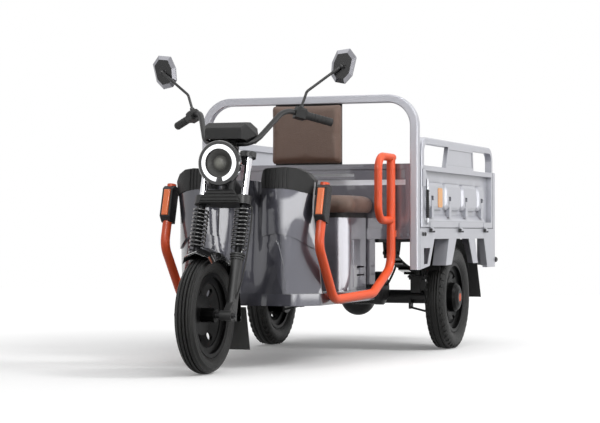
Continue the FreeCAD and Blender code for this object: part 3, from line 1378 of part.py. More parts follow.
def rear_frame():
    """Rear posts and sill between the side rails."""
    post = box(BOX_HALF - POST_WIDTH, BOX_HALF, SILL_FRONT_Y, BOX_REAR_Y, DECK_Z, PANEL_TOP_Z)
    post = softened(post, 6, lambda p: p.z > PANEL_TOP_Z - 1)
    sill_half = BOX_HALF - RIM_DEPTH
    sill = box(-sill_half, sill_half, SILL_FRONT_Y, BOX_REAR_Y, SILL_Z, DECK_Z)
    return both_sides(post) + [sill]


def pillow(width, low, high, base, rise, inset):
    """Pressed bulge: rounded rectangle that shrinks as it rises along Z, centred on X."""
    wires = []
    for lift, shrink, corner in ((-1, 0, 22), (rise * 0.55, inset * 0.25, 22), (rise, inset, 18)):
        half = width / 2 - shrink
        points = [V(-half, low + shrink, base + lift), V(half, low + shrink, base + lift),
                  V(half, high - shrink, base + lift), V(-half, high - shrink, base + lift)]
        wires.append(rounded_wire(points, [corner] * 4))
    return Part.makeLoft(wires, True, True)


SIDE_UP = FreeCAD.Placement(V(0, 0, 0), FreeCAD.Rotation(V(0, 1, 0), V(0, 0, 1), V(1, 0, 0), "ZXY"))
REAR_UP = FreeCAD.Placement(V(0, 0, 0), FreeCAD.Rotation(V(-1, 0, 0), V(0, 0, 1), V(0, 1, 0), "ZXY"))


def gate_blank(y0, y1, z0, z1, corner, wall_back, wall_front, rails):
    """Frame in local axes: X along the gate, Y up, Z outwards. The rails leave windows."""
    points = [V(y0, z0, wall_back), V(y0, z1, wall_back), V(y1, z1, wall_back), V(y1, z0, wall_back)]
    frame = Part.Face(rounded_wire(points, [2, corner, corner, 2])).extrude(V(0, 0, wall_front - wall_back))
    frame = softened(frame, 7, lambda p: p.z > wall_front - 1)
    for low, high, rounding in rails:
        a, b = y0 + GATE_FRAME, y1 - GATE_FRAME
        inside = [V(a, low, wall_back - 1), V(a, high, wall_back - 1), V(b, high, wall_back - 1),
                  V(b, low, wall_back - 1)]
        window = Part.Face(rounded_wire(inside, [6, rounding, rounding, 6]))
        frame = frame.cut(window.extrude(V(0, 0, wall_front - wall_back + 2)))
    return frame


def hinge_leaf(at, outer, low):
    """Knuckle with strap on the gate, in gate axes."""
    axis_z = outer + HINGE_OUT
    axis_y = low - HINGE_DROP
    barrel = rod(V(at - KNUCKLE_HALF, axis_y, axis_z), V(at + KNUCKLE_HALF, axis_y, axis_z), KNUCKLE_RADIUS)
    strap = box(at - KNUCKLE_HALF, at + KNUCKLE_HALF, low, low + 26, outer - 1, outer + SHEET)
    neck = box(at - KNUCKLE_HALF, at + KNUCKLE_HALF, axis_y + 2, low + 4, outer + 1, axis_z)
    bore = rod(V(at - 40, axis_y, axis_z), V(at + 40, axis_y, axis_z), PIN_RADIUS + SNUG)
    return fuse(barrel, strap, neck), bore


def hinge_pin(at, outer, low):
    """Pin between two ears below the gate, in gate axes."""
    axis_z = outer + HINGE_OUT
    axis_y = low - HINGE_DROP
    pin = rod(V(at - KNUCKLE_HALF - 6, axis_y, axis_z), V(at + KNUCKLE_HALF + 6, axis_y, axis_z), PIN_RADIUS)
    ears = []
    for side in (-1, 1):
        x = at + side * (KNUCKLE_HALF + 3.5)
        ears.append(box(x - 2.5, x + 2.5, axis_y - 12, axis_y + 5, outer, axis_z + 5))
    return fuse(pin, *ears)


def gate_hinges(y0, y1):
    return [y0 + (y1 - y0) * share for share in HINGE_SHARES]


def side_gate():
    """Fold-down side, left: hoop frame, pressed panel, window plate and hinge leaves."""
    outer, back = BOX_HALF, BOX_HALF - RIM_DEPTH
    y0, y1 = GATE_FRONT_Y, GATE_REAR_Y
    low, high = MID_RAIL
    sill = GATE_FOOT_Z + GATE_FRAME
    frame = gate_blank(y0, y1, GATE_FOOT_Z, SIDE_TOP_Z, GATE_CORNER, back, outer,
                       [(sill, low, 6), (high, SIDE_TOP_Z - GATE_FRAME, GATE_CORNER - GATE_FRAME)])
    floor = outer - PANEL_INSET
    panel = box(y0 + GATE_FRAME - 1, y1 - GATE_FRAME + 1, sill - 1, low + 1, floor - SHEET, floor)
    pitch = (y1 - BULGE_REAR - LAST_BULGE - y0 - BULGE_FRONT) / (BULGES - 1)
    slope = [(sill - 1, floor - 1), (sill - 1, outer - 3), (sill + 4, outer - 3), (sill + 34, floor - 1)]
    ledge = prism_x(slope, y0 + GATE_FRAME - 1, y1 - BULGE_REAR)
    parts, cuts = [panel, ledge], []
    for i in range(BULGES):
        start = y0 + BULGE_FRONT + pitch * i
        width = pitch - BULGE_SPACE if i < BULGES - 1 else LAST_BULGE
        bulge = pillow(width, sill + BULGE_FOOT, low - 46, floor, PILLOW_RISE, 18)
        bulge.translate(V(start + width / 2, 0, 0))
        hook, mouth = start + HOOK_SETBACK, sill + HOOK_RISE
        tongue = box(hook - 17, hook + 17, sill + 20, mouth, floor, floor + PILLOW_RISE + 2.5)
        parts += [bulge, tongue]
        cuts.append(box(hook - 20, hook + 20, mouth, mouth + 20, floor + PILLOW_RISE - 10, outer))
    plate = face([V(y, z, outer - PLATE_DEPTH) for y, z in PLATE_OUTLINE]).extrude(V(0, 0, PLATE_DEPTH))
    field = face([V(y, z, outer - SHEET) for y, z in PLATE_FIELD]).extrude(V(0, 0, SHEET + 1))
    parts.append(plate.cut(field))
    bores = []
    for at in gate_hinges(y0, y1):
        leaf, bore = hinge_leaf(at, outer, GATE_FOOT_Z)
        parts.append(leaf)
        bores.append(bore)
    gate = frame.fuse(parts).removeSplitter().cut(cuts + bores)
    return placed(gate, SIDE_UP)


def tailgate():
    """Fold-down rear gate between the posts."""
    outer, back = BOX_REAR_Y, BOX_REAR_Y - TAILGATE_DEPTH
    half = BOX_HALF - POST_WIDTH - 1
    sill, top = GATE_FOOT_Z + GATE_FRAME, PANEL_TOP_Z - GATE_FRAME
    frame = gate_blank(-half, half, GATE_FOOT_Z, PANEL_TOP_Z, 8, back, outer, [(sill, top, 6)])
    floor = outer - PANEL_INSET + 2
    panel = box(-half + GATE_FRAME - 1, half - GATE_FRAME + 1, sill - 1, top + 1, floor - SHEET, floor)
    count = BULGES - 1
    span = 2 * (half - GATE_FRAME) / count
    parts = [panel]
    for i in range(count):
        bulge = pillow(span - 22, sill + 22, top - 22, floor, PILLOW_RISE - 2, 20)
        bulge.translate(V((i - (count - 1) / 2) * span, 0, 0))
        parts.append(bulge)
    bores = []
    for at in gate_hinges(-half, half):
        leaf, bore = hinge_leaf(at, outer, GATE_FOOT_Z)
        parts.append(leaf)
        bores.append(bore)
    gate = frame.fuse(parts).removeSplitter().cut(bores)
    return placed(gate, REAR_UP)


def gate_hinge_pins():
    pins = []
    for at in gate_hinges(GATE_FRONT_Y, GATE_REAR_Y):
        pins += both_sides(placed(hinge_pin(at, BOX_HALF, GATE_FOOT_Z), SIDE_UP))
    half = BOX_HALF - POST_WIDTH - 1
    for at in gate_hinges(-half, half):
        pins.append(placed(hinge_pin(at, BOX_REAR_Y, GATE_FOOT_Z), REAR_UP))
    return pins


# Rear suspension and drive
def wheel_arches():
    """Mudguards over the rear wheels: rolled sheet with a welded inner lip."""
    inner, outer = WHEEL_X - 70, BOX_HALF - RIM_DEPTH
    low, high = ARCH_RADIUS, ARCH_RADIUS + SHEET
    centre = FreeCAD.Placement(V(0, REAR_AXLE_Y, REAR_TYRE_RADIUS + ARCH_LIFT), FreeCAD.Rotation())
    arches = []
    for x0, x1, r0, r1 in ((inner + SHEET, outer, low, high), (inner, inner + SHEET, low - ARCH_LIP, high)):
        profile = face([V(x0, r0, 0), V(x1, r0, 0), V(x1, r1, 0), V(x0, r1, 0)])
        profile.rotate(V(0, 0, 0), V(1, 0, 0), ARCH_START)
        arches += both_sides(placed(profile.revolve(V(0, 0, 0), V(1, 0, 0), ARCH_SWEEP), centre))
    return arches


def mudflaps_and_buffers():
    """Rubber flaps behind the rear wheels and rubber buffers on the tail."""
    (y0, z0), (y1, z1) = STRUT_REAR[1], STRUT_REAR[2]
    slope = (y1 - y0) / (z0 - z1)
    top, low = SILL_Z - 4, 232.0
    flap = prism_x([(y0 + (z0 - top) * slope, top), (y0 + (z0 - low) * slope, low),
                    (y0 + (z0 - low) * slope + 5, low), (y0 + (z0 - top) * slope + 5, top)],
                   BOX_HALF - 132, BOX_HALF - 5)
    at = V(BOX_HALF - 8, BOX_REAR_Y, SKIRT_FOOT_Z + 27)
    stop = rod(at, at + V(0, 34, 0), 14)
    return both_sides(flap) + both_sides(stop)


def tail_lamps():
    lamp = box(BOX_HALF - 90, BOX_HALF - 52, BOX_REAR_Y, BOX_REAR_Y + 20, SKIRT_FOOT_Z + 45, SILL_Z - 10)
    return both_sides(softened(lamp, 5, lambda p: p.y > BOX_REAR_Y + 1))


def leaf_arc(drop, share):
    """Line of a leaf's top, a drop below the main leaf, over a share of the span."""
    rise = EYE_Z - LEAF_TOP_Z
    radius = (SPRING_HALF_SPAN ** 2 + rise ** 2) / (2 * rise)
    centre = V(0, REAR_AXLE_Y, LEAF_TOP_Z + radius)
    reach = math.asin(SPRING_HALF_SPAN * share / radius)
    r = radius + drop
    ends = [centre + V(0, r * math.sin(a), -r * math.cos(a)) for a in (-reach, 0, reach)]
    return ends


def leaf_springs():
    """Packs of four leaves with rolled eyes."""
    pack = None
    x0 = BED_RAIL_X - LEAF_WIDTH / 2
    for i, share in enumerate(LEAF_SPANS):
        a = leaf_arc(LEAF_THICK * i, share)
        b = leaf_arc(LEAF_THICK * (i + 1), share)
        wire = Part.Wire([Part.Arc(*a).toShape(), Part.makeLine(a[2], b[2]),
                          Part.Arc(b[2], b[1], b[0]).toShape(), Part.makeLine(b[0], a[0])])
        leaf = Part.Face(wire).extrude(V(LEAF_WIDTH, 0, 0))
        leaf.translate(V(x0, 0, 0))
        pack = leaf if pack is None else pack.fuse(leaf)
    bores = []
    for y in (REAR_AXLE_Y - SPRING_HALF_SPAN, REAR_AXLE_Y + SPRING_HALF_SPAN):
        pack = pack.fuse(rod_x(x0, x0 + LEAF_WIDTH, y, EYE_Z, EYE_RADIUS))
        bores.append(rod_x(x0 - 1, x0 + LEAF_WIDTH + 1, y, EYE_Z, EYE_PIN_RADIUS + SNUG))
    return both_sides(pack.removeSplitter().cut(bores))


def gear_case(extra):
    """Round bulge in the middle of the axle, grown by an extra."""
    end, neck, r = GEAR_CASE_HALF, GEAR_CASE_NECK + extra, GEAR_CASE_RADIUS + extra
    left, right = V(-end, 0, neck), V(end, 0, neck)
    dome = Part.Arc(left, V(0, 0, r), right).toShape()
    wire = Part.Wire([dome, Part.makeLine(right, V(end, 0, 0)), Part.makeLine(V(end, 0, 0), V(-end, 0, 0)),
                      Part.makeLine(V(-end, 0, 0), left)])
    case = Part.Face(wire).revolve(V(0, 0, 0), V(1, 0, 0), 360)
    return placed(case, FreeCAD.Placement(V(0, REAR_AXLE_Y, REAR_TYRE_RADIUS), FreeCAD.Rotation()))


def axle_housing():
    """Axle tube with gear case, spring clamps, brake plates and brake links."""
    y, z = REAR_AXLE_Y, REAR_TYRE_RADIUS
    end = WHEEL_X - REAR_DRUM_DEPTH - BRAKE_PLATE_GAP
    parts = [rod_x(-end, end, y, z, AXLE_RADIUS)]
    parts.append(gear_case(0))
    pack_foot = LEAF_TOP_Z - LEAF_THICK * len(LEAF_SPANS)
    for side in (-1, 1):
        parts.append(rod_x(side * end - 3, side * end + 3, y, z, REAR_DRUM_RADIUS + 2))
        x = side * BED_RAIL_X
        half = LEAF_WIDTH / 2
        parts.append(box(x - half, x + half, y - 42, y + 42, z + 20, pack_foot))
        parts.append(box(x - half - 14, x + half + 14, y - 42, y + 42, pack_foot - 8, pack_foot))
        parts.append(box(x - half - 14, x + half + 14, y - 42, y + 42, LEAF_TOP_Z + 1.2, LEAF_TOP_Z + 9))
        for dx in (-half - 7, half + 7):
            for dy in (-28, 28):
                parts.append(rod_z(x + dx, y + dy, pack_foot - 18, LEAF_TOP_Z + 18, 5))
        arm_x = side * (end - 9)
        parts.append(box(arm_x - 5, arm_x + 5, y - 60, y - 44, z - 80, z - 20))
        link_x = side * WHEEL_X * BRAKE_LINK_X
        parts.append(box(link_x - 5, link_x + 5, y - 58, y - 15, z - 56, z - 12))
        parts.append(rod(V(link_x, y - 52, z - 48), V(arm_x, y - 52, z - 68), 5))
    body = fuse(parts[0], *parts[1:])
    hole = HALF_SHAFT_RADIUS + SNUG
    inner = WHEEL_X * 0.45 - 12
    return body.cut(both_sides(rod_x(inner, end + 20, y, z, hole)))


def drive_motor():
    """Motor beside the gear case with end bells and cooling ribs."""
    y = REAR_AXLE_Y - GEAR_CASE_RADIUS - MOTOR_RADIUS + 8
    z = REAR_TYRE_RADIUS + MOTOR_RISE
    x0, x1 = MOTOR_X
    r = MOTOR_RADIUS
    in0, in1 = x0 + MOTOR_BELL, x1 - MOTOR_BELL
    body = turned_x([(x0, 0), (x0, r - 12), (x0 + 12, r), (in0, r), (in0, r - 5), (in1, r - 5), (in1, r),
                     (x1 - 12, r), (x1, r - 20), (x1, 0)])
    ribs = []
    pitch = (in1 - in0) / (MOTOR_RIBS + 1)
    for i in range(MOTOR_RIBS):
        x = in0 + (i + 0.8) * pitch
        ribs.append(turned_x([(x, r - 6), (x + pitch * 0.4, r - 6), (x + pitch * 0.4, r - 1), (x, r - 1)]))
    body = placed(fuse(body, *ribs), FreeCAD.Placement(V(0, y, z), FreeCAD.Rotation()))
    mount = box(-60, 20, y + 20, REAR_AXLE_Y - 60, REAR_TYRE_RADIUS - 10, z + 30)
    return fuse(body, mount).cut(gear_case(SLIP))


def brake_pedal():
    """Foot pedal on a pin across its bracket."""
    x = PEDAL_X
    pivot = V(x, PEDAL_PIVOT_Y, PEDAL_PIVOT_Z)
    pad_at = V(x, PEDAL_PAD_Y, PEDAL_PAD_Z)
    hub = rod_x(x - 14, x + 14, PEDAL_PIVOT_Y, PEDAL_PIVOT_Z, 9)
    arm = tube([pivot, V(x, PEDAL_PIVOT_Y - 50, PEDAL_PIVOT_Z + 24), pad_at], [0, 30, 0], 7)
    pad = prism_x([(-9, -32), (-3, -34), (-3, 34), (-9, 32)], x - 34, x + 34)
    for i in range(4):
        z = -24 + i * 16
        pad = pad.cut(box(x - 40, x + 40, -4.5, 0, z - 2, z + 2))
    pad.rotate(V(0, 0, 0), V(1, 0, 0), -35)
    pad.translate(V(0, PEDAL_PAD_Y + 5, PEDAL_PAD_Z))
    bore = rod_x(x - 30, x + 30, PEDAL_PIVOT_Y, PEDAL_PIVOT_Z, PIN_RADIUS + SNUG)
    return fuse(hub, arm, pad).cut(bore)


NODES = {
    "front_frame": front_frame,
    "head_bearings": head_bearings,
    "bed_frame": bed_frame,
    "floor_pan": floor_pan,
    "leg_shield": leg_shield,
    "shield_caps": shield_caps,
    "crash_bars": crash_bars,
    "signal_housings": signal_housings,
    "signal_lenses": signal_lenses,
    "seat_box": seat_box,
    "battery_pack": battery_pack,
    "controller": controller,
    "backrest_pad": backrest_pad,
    "backrest_board": backrest_board,
    "cargo_hoop": cargo_hoop,
    "headboard": headboard,
    "cargo_floor": cargo_floor,
    "side_skirts": side_skirts,
    "rear_frame": rear_frame,
    "gate_hinge_pins": gate_hinge_pins,
    "wheel_arches": wheel_arches,
    "mudflaps_and_buffers": mudflaps_and_buffers,
    "tail_lamps": tail_lamps,
    "leaf_springs": leaf_springs,
    "fork_yokes": fork_yokes,
    "fork_tubes": fork_tubes,
    "crown_cover": crown_cover,
    "headlight_housing": headlight_housing,
    "headlight_ring": headlight_ring,
    "headlight_lens": headlight_lens,
    "instrument_pod": instrument_pod,
    "instrument_screen": instrument_screen,
    "handlebar": handlebar,
    "grip_left": grip,
    "switch_pods": lambda: both_sides(switch_pod()),
    "mirror_stems": mirror_stems,
    "fork_springs": fork_springs,
    "throttle_grip": lambda: mirrored(grip()),
    "mirror_left": mirror_head,
    "mirror_glass_left": mirror_glass,
    "mirror_right": lambda: mirrored(mirror_head()),
    "mirror_glass_right": lambda: mirrored(mirror_glass()),
    "fork_legs": fork_legs,
    "front_axle": front_axle,
    "front_fender": front_fender,
    "front_brake_plate": front_brake_plate,
    "front_tyre": front_tyre,
    "front_rim": front_rim,
    "axle_housing": axle_housing,
    "drive_motor": drive_motor,
    "rear_tyre_left": rear_tyre,
    "rear_rim_left": rear_rim,
    "rear_tyre_right": lambda: mirrored(rear_tyre()),
    "rear_rim_right": lambda: [mirrored(s) for s in rear_rim()],
    "gate_left": side_gate,
    "gate_right": lambda: mirrored(side_gate()),
    "tailgate": tailgate,
    "seat_pan": seat_pan,
    "seat_cushion": seat_cushion,
    "brake_pedal": brake_pedal,
}

os.makedirs("parts", exist_ok=True)
for name, make in NODES.items():
    made = make()
    shape = Part.makeCompound(made) if isinstance(made, list) else made
    shape.exportStep("parts/%s.step" % name)
    counts = (name, len(shape.Solids), len(shape.Faces), shape.isValid())
    print("%-22s solids %2d  faces %4d  valid %s" % counts)
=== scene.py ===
import bpy
import bmesh
import json
import math
from mathutils import Matrix, Vector


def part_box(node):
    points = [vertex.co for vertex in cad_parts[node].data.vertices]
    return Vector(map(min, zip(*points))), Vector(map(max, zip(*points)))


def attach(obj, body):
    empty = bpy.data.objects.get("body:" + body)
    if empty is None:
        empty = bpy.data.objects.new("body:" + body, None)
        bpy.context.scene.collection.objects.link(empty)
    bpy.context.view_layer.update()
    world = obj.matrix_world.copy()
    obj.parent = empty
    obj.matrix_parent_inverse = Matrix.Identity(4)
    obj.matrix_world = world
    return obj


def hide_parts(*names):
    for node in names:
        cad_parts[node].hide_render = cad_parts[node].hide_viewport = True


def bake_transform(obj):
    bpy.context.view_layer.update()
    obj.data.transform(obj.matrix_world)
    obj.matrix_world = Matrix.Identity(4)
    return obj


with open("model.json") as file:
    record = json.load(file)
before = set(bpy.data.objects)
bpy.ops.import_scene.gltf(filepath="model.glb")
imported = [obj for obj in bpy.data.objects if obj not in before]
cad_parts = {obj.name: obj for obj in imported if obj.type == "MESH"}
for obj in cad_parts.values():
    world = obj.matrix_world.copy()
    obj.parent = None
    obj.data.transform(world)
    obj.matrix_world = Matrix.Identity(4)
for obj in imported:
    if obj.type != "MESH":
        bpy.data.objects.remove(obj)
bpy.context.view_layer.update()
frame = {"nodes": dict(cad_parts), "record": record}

NODES = frame["nodes"]

# Camera at the photo's angle, in metres and degrees
PHOTO_WIDTH = 600
FOCAL_PIXELS = 1832.4
SENSOR = 36.0
CAMERA_AT = (2.8275, -7.6666, 0.5467)
CAMERA_TURN = 20.488
CAMERA_TILT = 0.666
VIEW_END = 200.0

# Places on the object, in metres
FRONT_AXLE = Vector((0, -1.147, 0.228))
REAR_AXLE_Y = 0.703
REAR_AXLE_Z = 0.243
WHEEL_X = 0.445
HUB_FACE_X = WHEEL_X + 0.05
HUB_CENTRE = 0.019
FRONT_TREAD_RADIUS = 0.205
REAR_TREAD_RADIUS = 0.224
LAMP_Z = 0.822
LAMP_CORE = 0.032
LAMP_RING = 0.0575
MIRROR_Y = -0.661
MIRROR_BEVEL = 0.0125
FLAP_THICK = 0.0045
HEADBOARD_FACE_Y = 0.009
# Foot, head and reach to each side of the headboard's pressed ledges, which also carry a painted highlight
HEADBOARD_LEDGES = [(0.757, 0.780, 0.455), (0.796, 0.809, 0.215)]
LEDGE_RISE = 0.020
RAKE = math.radians(17)
FORK_UP = Vector((0, math.sin(RAKE), math.cos(RAKE)))
FORK_AHEAD = Vector((0, -math.cos(RAKE), math.sin(RAKE)))
LEG_FOOT = Vector((0, -1.10875, 0.2163))
LEG_X = 0.089
COIL_GROWTH = 1.07
YOKE_Z = 0.680
BOX_SIDE_X = 0.512

# Tyre relief: rings and lines in radians per metre, their depths as shares of the relief
WALL_RINGS = 900.0
WALL_RING_DEPTH = 0.35
TREAD_LINES = 520.0
TREAD_BLEND = 0.006
FRONT_TREAD_DEPTH = 3.0
REAR_TREAD_DEPTH = 0.7

# Surfaces
ROUGH_FINER = 3
EDGE_SAMPLES = 4
CREASE_SAMPLES = 8
# Painted shade in inner corners, as shares of the paint colour
CREASE_SHADE_SHARES = (0.30, 0.40)
COAT_ROUGHNESS = 0.04
SHEET_COAT_IOR = 1.65
FENDER_COAT_IOR = 2.0
DULL_SHINE = 0.3
RIM_SHINE = 0.1
LENS_COAT = 0.3
LENS_SHADE = 0.75
# Emission strength of the painted glow in the headlamp bowl
BOWL_PAINTED_GLOW = 0.5
LEATHER_SHEEN = 0.1

# Edges sharper than this stay sharp, in degrees
SHARP_ANGLE = 35.0
CUSHION_ANGLE = 60.0

# Cushions
CUSHION_VOXEL = 0.006
CUSHION_PRESSURE = 4.0
CUSHION_FRAMES = 20
CUSHION_REACH = 0.006

# Rear tread lugs
LUGS = 44
LUG_HALF = 0.0055
# Distance from the wheel's middle and from its axle, for each corner of a lug
LUG_OUTLINE = [(0.024, 0.234), (0.034, 0.2405), (0.041, 0.234), (0.046, 0.221), (0.038, 0.218),
               (0.030, 0.226)]
LUG_STAGGER = 0.25

# Side gate trim
LATCH_X = BOX_SIDE_X + 0.008
LATCH_Y = 0.122
LATCH_RINGS = 14
LATCH_BRACKET_Z = 0.590
LATCH_FOOT_Z = 0.612
LATCH_TOP_Z = 0.738
KEEPER = [(0.068, 0.828), (0.100, 0.832), (0.122, 0.806), (0.150, 0.790), (0.152, 0.754), (0.068, 0.752)]
KEEPER_THICK = 0.004
REFLECTOR_X = 0.5068
REFLECTOR = [(0.330, 0.668), (0.336, 0.662), (0.392, 0.662), (0.398, 0.668), (0.398, 0.744), (0.392, 0.750),
             (0.336, 0.750), (0.330, 0.744)]
REFLECTOR_THICK = 0.0025
SLEEVE_RADIUS = 0.0078
SLEEVE_NECK = 0.0062
SLEEVE_RIDGE = 0.55
LATCH_ROD_RADIUS = 0.0045
LATCH_ROD_RISE = 0.045
LATCH_COLLAR = 0.012
LATCH_COLLAR_RADIUS = 0.0075
LATCH_BRACKET_RADIUS = 0.006
LATCH_BRACKET_REACH = 0.005

# Side rail bolts
BOLT_RADIUS = 0.0075
BOLT_HEAD = 0.006
WASHER_RADIUS = 0.0095
WASHER_THICK = 0.0016
RAIL_BOLTS = [(0.075, 0.541), (0.108, 0.541)]
BOLT_SIDES = 6

# Cables: the front one as sideways, ahead of and along the fork leg, the motor's as x, y and z
FRONT_CABLE = [(0.127, 0.0, 0.455), (0.132, 0.004, 0.38), (0.133, 0.012, 0.26), (0.128, 0.020, 0.15),
               (0.108, 0.012, 0.075)]
FRONT_CABLE_RADIUS = 0.0032
MOTOR_CABLE = [(0.230, 0.640, 0.503), (0.228, 0.625, 0.45), (0.218, 0.600, 0.38), (0.206, 0.565, 0.33),
               (0.192, 0.552, 0.30)]
MOTOR_CABLE_RADIUS = 0.005
# No cable runs along this direction, so it can turn their rings
CABLE_SIDE = Vector((0, 1, 0.2))

# Floor, in metres and shares of white
FLOOR_SIZE = 8.0
FLOOR_MIDDLE = (0.3, 0.0)
FLOOR_NEAR = 1.6
FLOOR_FAR = 3.4
FLOOR_GLOW = 0.12
FLOOR_PALE = (0.92, 0.92, 0.92, 1)
FLOOR_DULL = (0.1, 0.1, 0.1, 1)
FLOOR_ROUGHNESS = 0.9

# Room light and the softbox, whose edges are ranges of the ray direction
ROOM_LIGHT = 0.8
ROOM_LEFT = 0.5
ROOM_RIGHT = 1.1
ROOM_SPREAD = 0.45
SOFTBOX = 6.0
SOFTBOX_FOOT = (-0.09, -0.05)
SOFTBOX_TOP = (0.085, 0.11)
SOFTBOX_LEFT = (-0.3, 0.05)
SOFTBOX_BACK = (0.2, 0.5)


def on_fork(x, ahead, along):
    """Point at a place sideways, ahead of the leg line and along it from its foot."""
    return LEG_FOOT + Vector((x, 0, 0)) + FORK_UP * along + FORK_AHEAD * ahead


def srgb(red, green, blue):
    """Linear colour from 0-255 screen values."""
    def linear(value):
        share = value / 255
        return share / 12.92 if share <= 0.04045 else ((share + 0.055) / 1.055) ** 2.4
    return (linear(red), linear(green), linear(blue), 1.0)


def shade(colour, share):
    return tuple(min(1.0, c * share) for c in colour[:3]) + (1.0,)


# Material building blocks
def new_material(name):
    material = bpy.data.materials.new(name)
    material.use_nodes = True
    tree = material.node_tree
    return material, tree, tree.nodes["Principled BSDF"]


def object_coords(tree):
    return tree.nodes.new("ShaderNodeTexCoord").outputs["Object"]


def axes(tree):
    split = tree.nodes.new("ShaderNodeSeparateXYZ")
    tree.links.new(object_coords(tree), split.inputs[0])
    return split.outputs


def noise(tree, scale, detail=3.0):
    node = tree.nodes.new("ShaderNodeTexNoise")
    node.inputs["Scale"].default_value = scale
    node.inputs["Detail"].default_value = detail
    tree.links.new(object_coords(tree), node.inputs["Vector"])
    return node.outputs["Fac"]


def cells(tree, scale):
    node = tree.nodes.new("ShaderNodeTexVoronoi")
    node.inputs["Scale"].default_value = scale
    tree.links.new(object_coords(tree), node.inputs["Vector"])
    return node.outputs["Distance"]


def bands(tree, axis, scale):
    node = tree.nodes.new("ShaderNodeTexWave")
    node.bands_direction = axis
    node.inputs["Scale"].default_value = scale
    tree.links.new(object_coords(tree), node.inputs["Vector"])
    return node.outputs["Fac"]


def math_node(tree, operation, a, b=None):
    node = tree.nodes.new("ShaderNodeMath")
    node.operation = operation
    for value, socket in ((a, node.inputs[0]), (b, node.inputs[1])):
        if value is None:
            continue
        if isinstance(value, (int, float)):
            socket.default_value = value
        else:
            tree.links.new(value, socket)
    return node.outputs[0]


def between(tree, value, low, high, start=0.0, end=1.0):
    """Maps a value that runs from start to end onto low to high, and holds it there."""
    node = tree.nodes.new("ShaderNodeMapRange")
    node.inputs["From Min"].default_value = start
    node.inputs["From Max"].default_value = end
    node.inputs["To Min"].default_value = low
    node.inputs["To Max"].default_value = high
    tree.links.new(value, node.inputs["Value"])
    return node.outputs["Result"]


def rising(tree, value, start, end):
    """Share that grows from 0 at the start to 1 at the end."""
    return between(tree, value, low=0.0, high=1.0, start=start, end=end)


def falling(tree, value, start, end):
    """Share that falls from 1 at the start to 0 at the end."""
    return between(tree, value, low=1.0, high=0.0, start=start, end=end)


def mixed(tree, share, first, second):
    """Mixes two colours, each a tuple or a socket."""
    node = tree.nodes.new("ShaderNodeMix")
    node.data_type = "RGBA"
    tree.links.new(share, node.inputs["Factor"])
    sockets = [s for s in node.inputs if s.type == "RGBA"]
    for value, socket in zip((first, second), sockets):
        if isinstance(value, tuple):
            socket.default_value = value
        else:
            tree.links.new(value, socket)
    return [s for s in node.outputs if s.type == "RGBA"][0]


def drifting(tree, dark, light, scale):
    """Screen colour that drifts between a dark and a light one."""
    return mixed(tree, noise(tree, scale), srgb(*dark), srgb(*light))


def distance_from(tree, first, second):
    """Distance in a plane from two coordinates, each a (socket, centre) pair."""
    squares = []
    for socket, centre in (first, second):
        offset = math_node(tree, "SUBTRACT", socket, centre)
        squares.append(math_node(tree, "MULTIPLY", offset, offset))
    return math_node(tree, "SQRT", math_node(tree, "ADD", *squares))


def rounded_edges(tree, radius):
    node = tree.nodes.new("ShaderNodeBevel")
    node.samples = EDGE_SAMPLES
    node.inputs["Radius"].default_value = radius
    return node.outputs["Normal"]


def bump(tree, height, distance, normal=None):
    node = tree.nodes.new("ShaderNodeBump")
    node.inputs["Distance"].default_value = distance
    tree.links.new(height, node.inputs["Height"])
    if normal is not None:
        tree.links.new(normal, node.inputs["Normal"])
    return node.outputs["Normal"]


def finish_surface(tree, shader, colour, spread, patch, rough, grain, depth, edge):
    """Colour that drifts a little, roughness in a range, fine grain and softened edges."""
    drift = noise(tree, patch)
    base = mixed(tree, drift, shade(colour, 1 - spread), shade(colour, 1 + spread))
    tree.links.new(base, shader.inputs["Base Color"])
    tree.links.new(between(tree, noise(tree, patch * ROUGH_FINER), *rough), shader.inputs["Roughness"])
    normal = rounded_edges(tree, edge) if edge else None
    tree.links.new(bump(tree, grain, depth, normal), shader.inputs["Normal"])


# Materials
def paint(name, colour, metallic, rough, coat, edge=0.002, grain=0.00006, crease=0.0):
    """Sprayed paint; with a crease length, painted shade that varies a little darkens the inner corners up
    to that far.
    """
    material, tree, shader = new_material(name)
    finish_surface(tree, shader, colour, spread=0.05, patch=9.0, rough=rough,
                   grain=noise(tree, scale=260.0, detail=2.0), depth=grain, edge=edge)
    if crease:
        # Painted shade: ambient occlusion darkens the paint in inner corners and recesses, where shade
        # falls.
        open_share = tree.nodes.new("ShaderNodeAmbientOcclusion")
        open_share.samples = CREASE_SAMPLES
        open_share.inputs["Distance"].default_value = crease
        crease_shade = mixed(tree, noise(tree, scale=9.0), *[shade(colour, share) for share in CREASE_SHADE_SHARES])
        plain_base = shader.inputs["Base Color"].links[0].from_socket
        tree.links.new(mixed(tree, open_share.outputs["AO"], crease_shade, plain_base), shader.inputs["Base Color"])
    shader.inputs["Metallic"].default_value = metallic
    shader.inputs["Coat Weight"].default_value = coat
    shader.inputs["Coat Roughness"].default_value = COAT_ROUGHNESS
    return material


def satin_paint(name, colour):
    """Satin metallic sheet paint under a clear coat that mirrors the room."""
    material = paint(name, colour, metallic=0.7, rough=(0.36, 0.46), coat=1.0, edge=0.003, grain=0.00001)
    material.node_tree.nodes["Principled BSDF"].inputs["Coat IOR"].default_value = SHEET_COAT_IOR
    return material


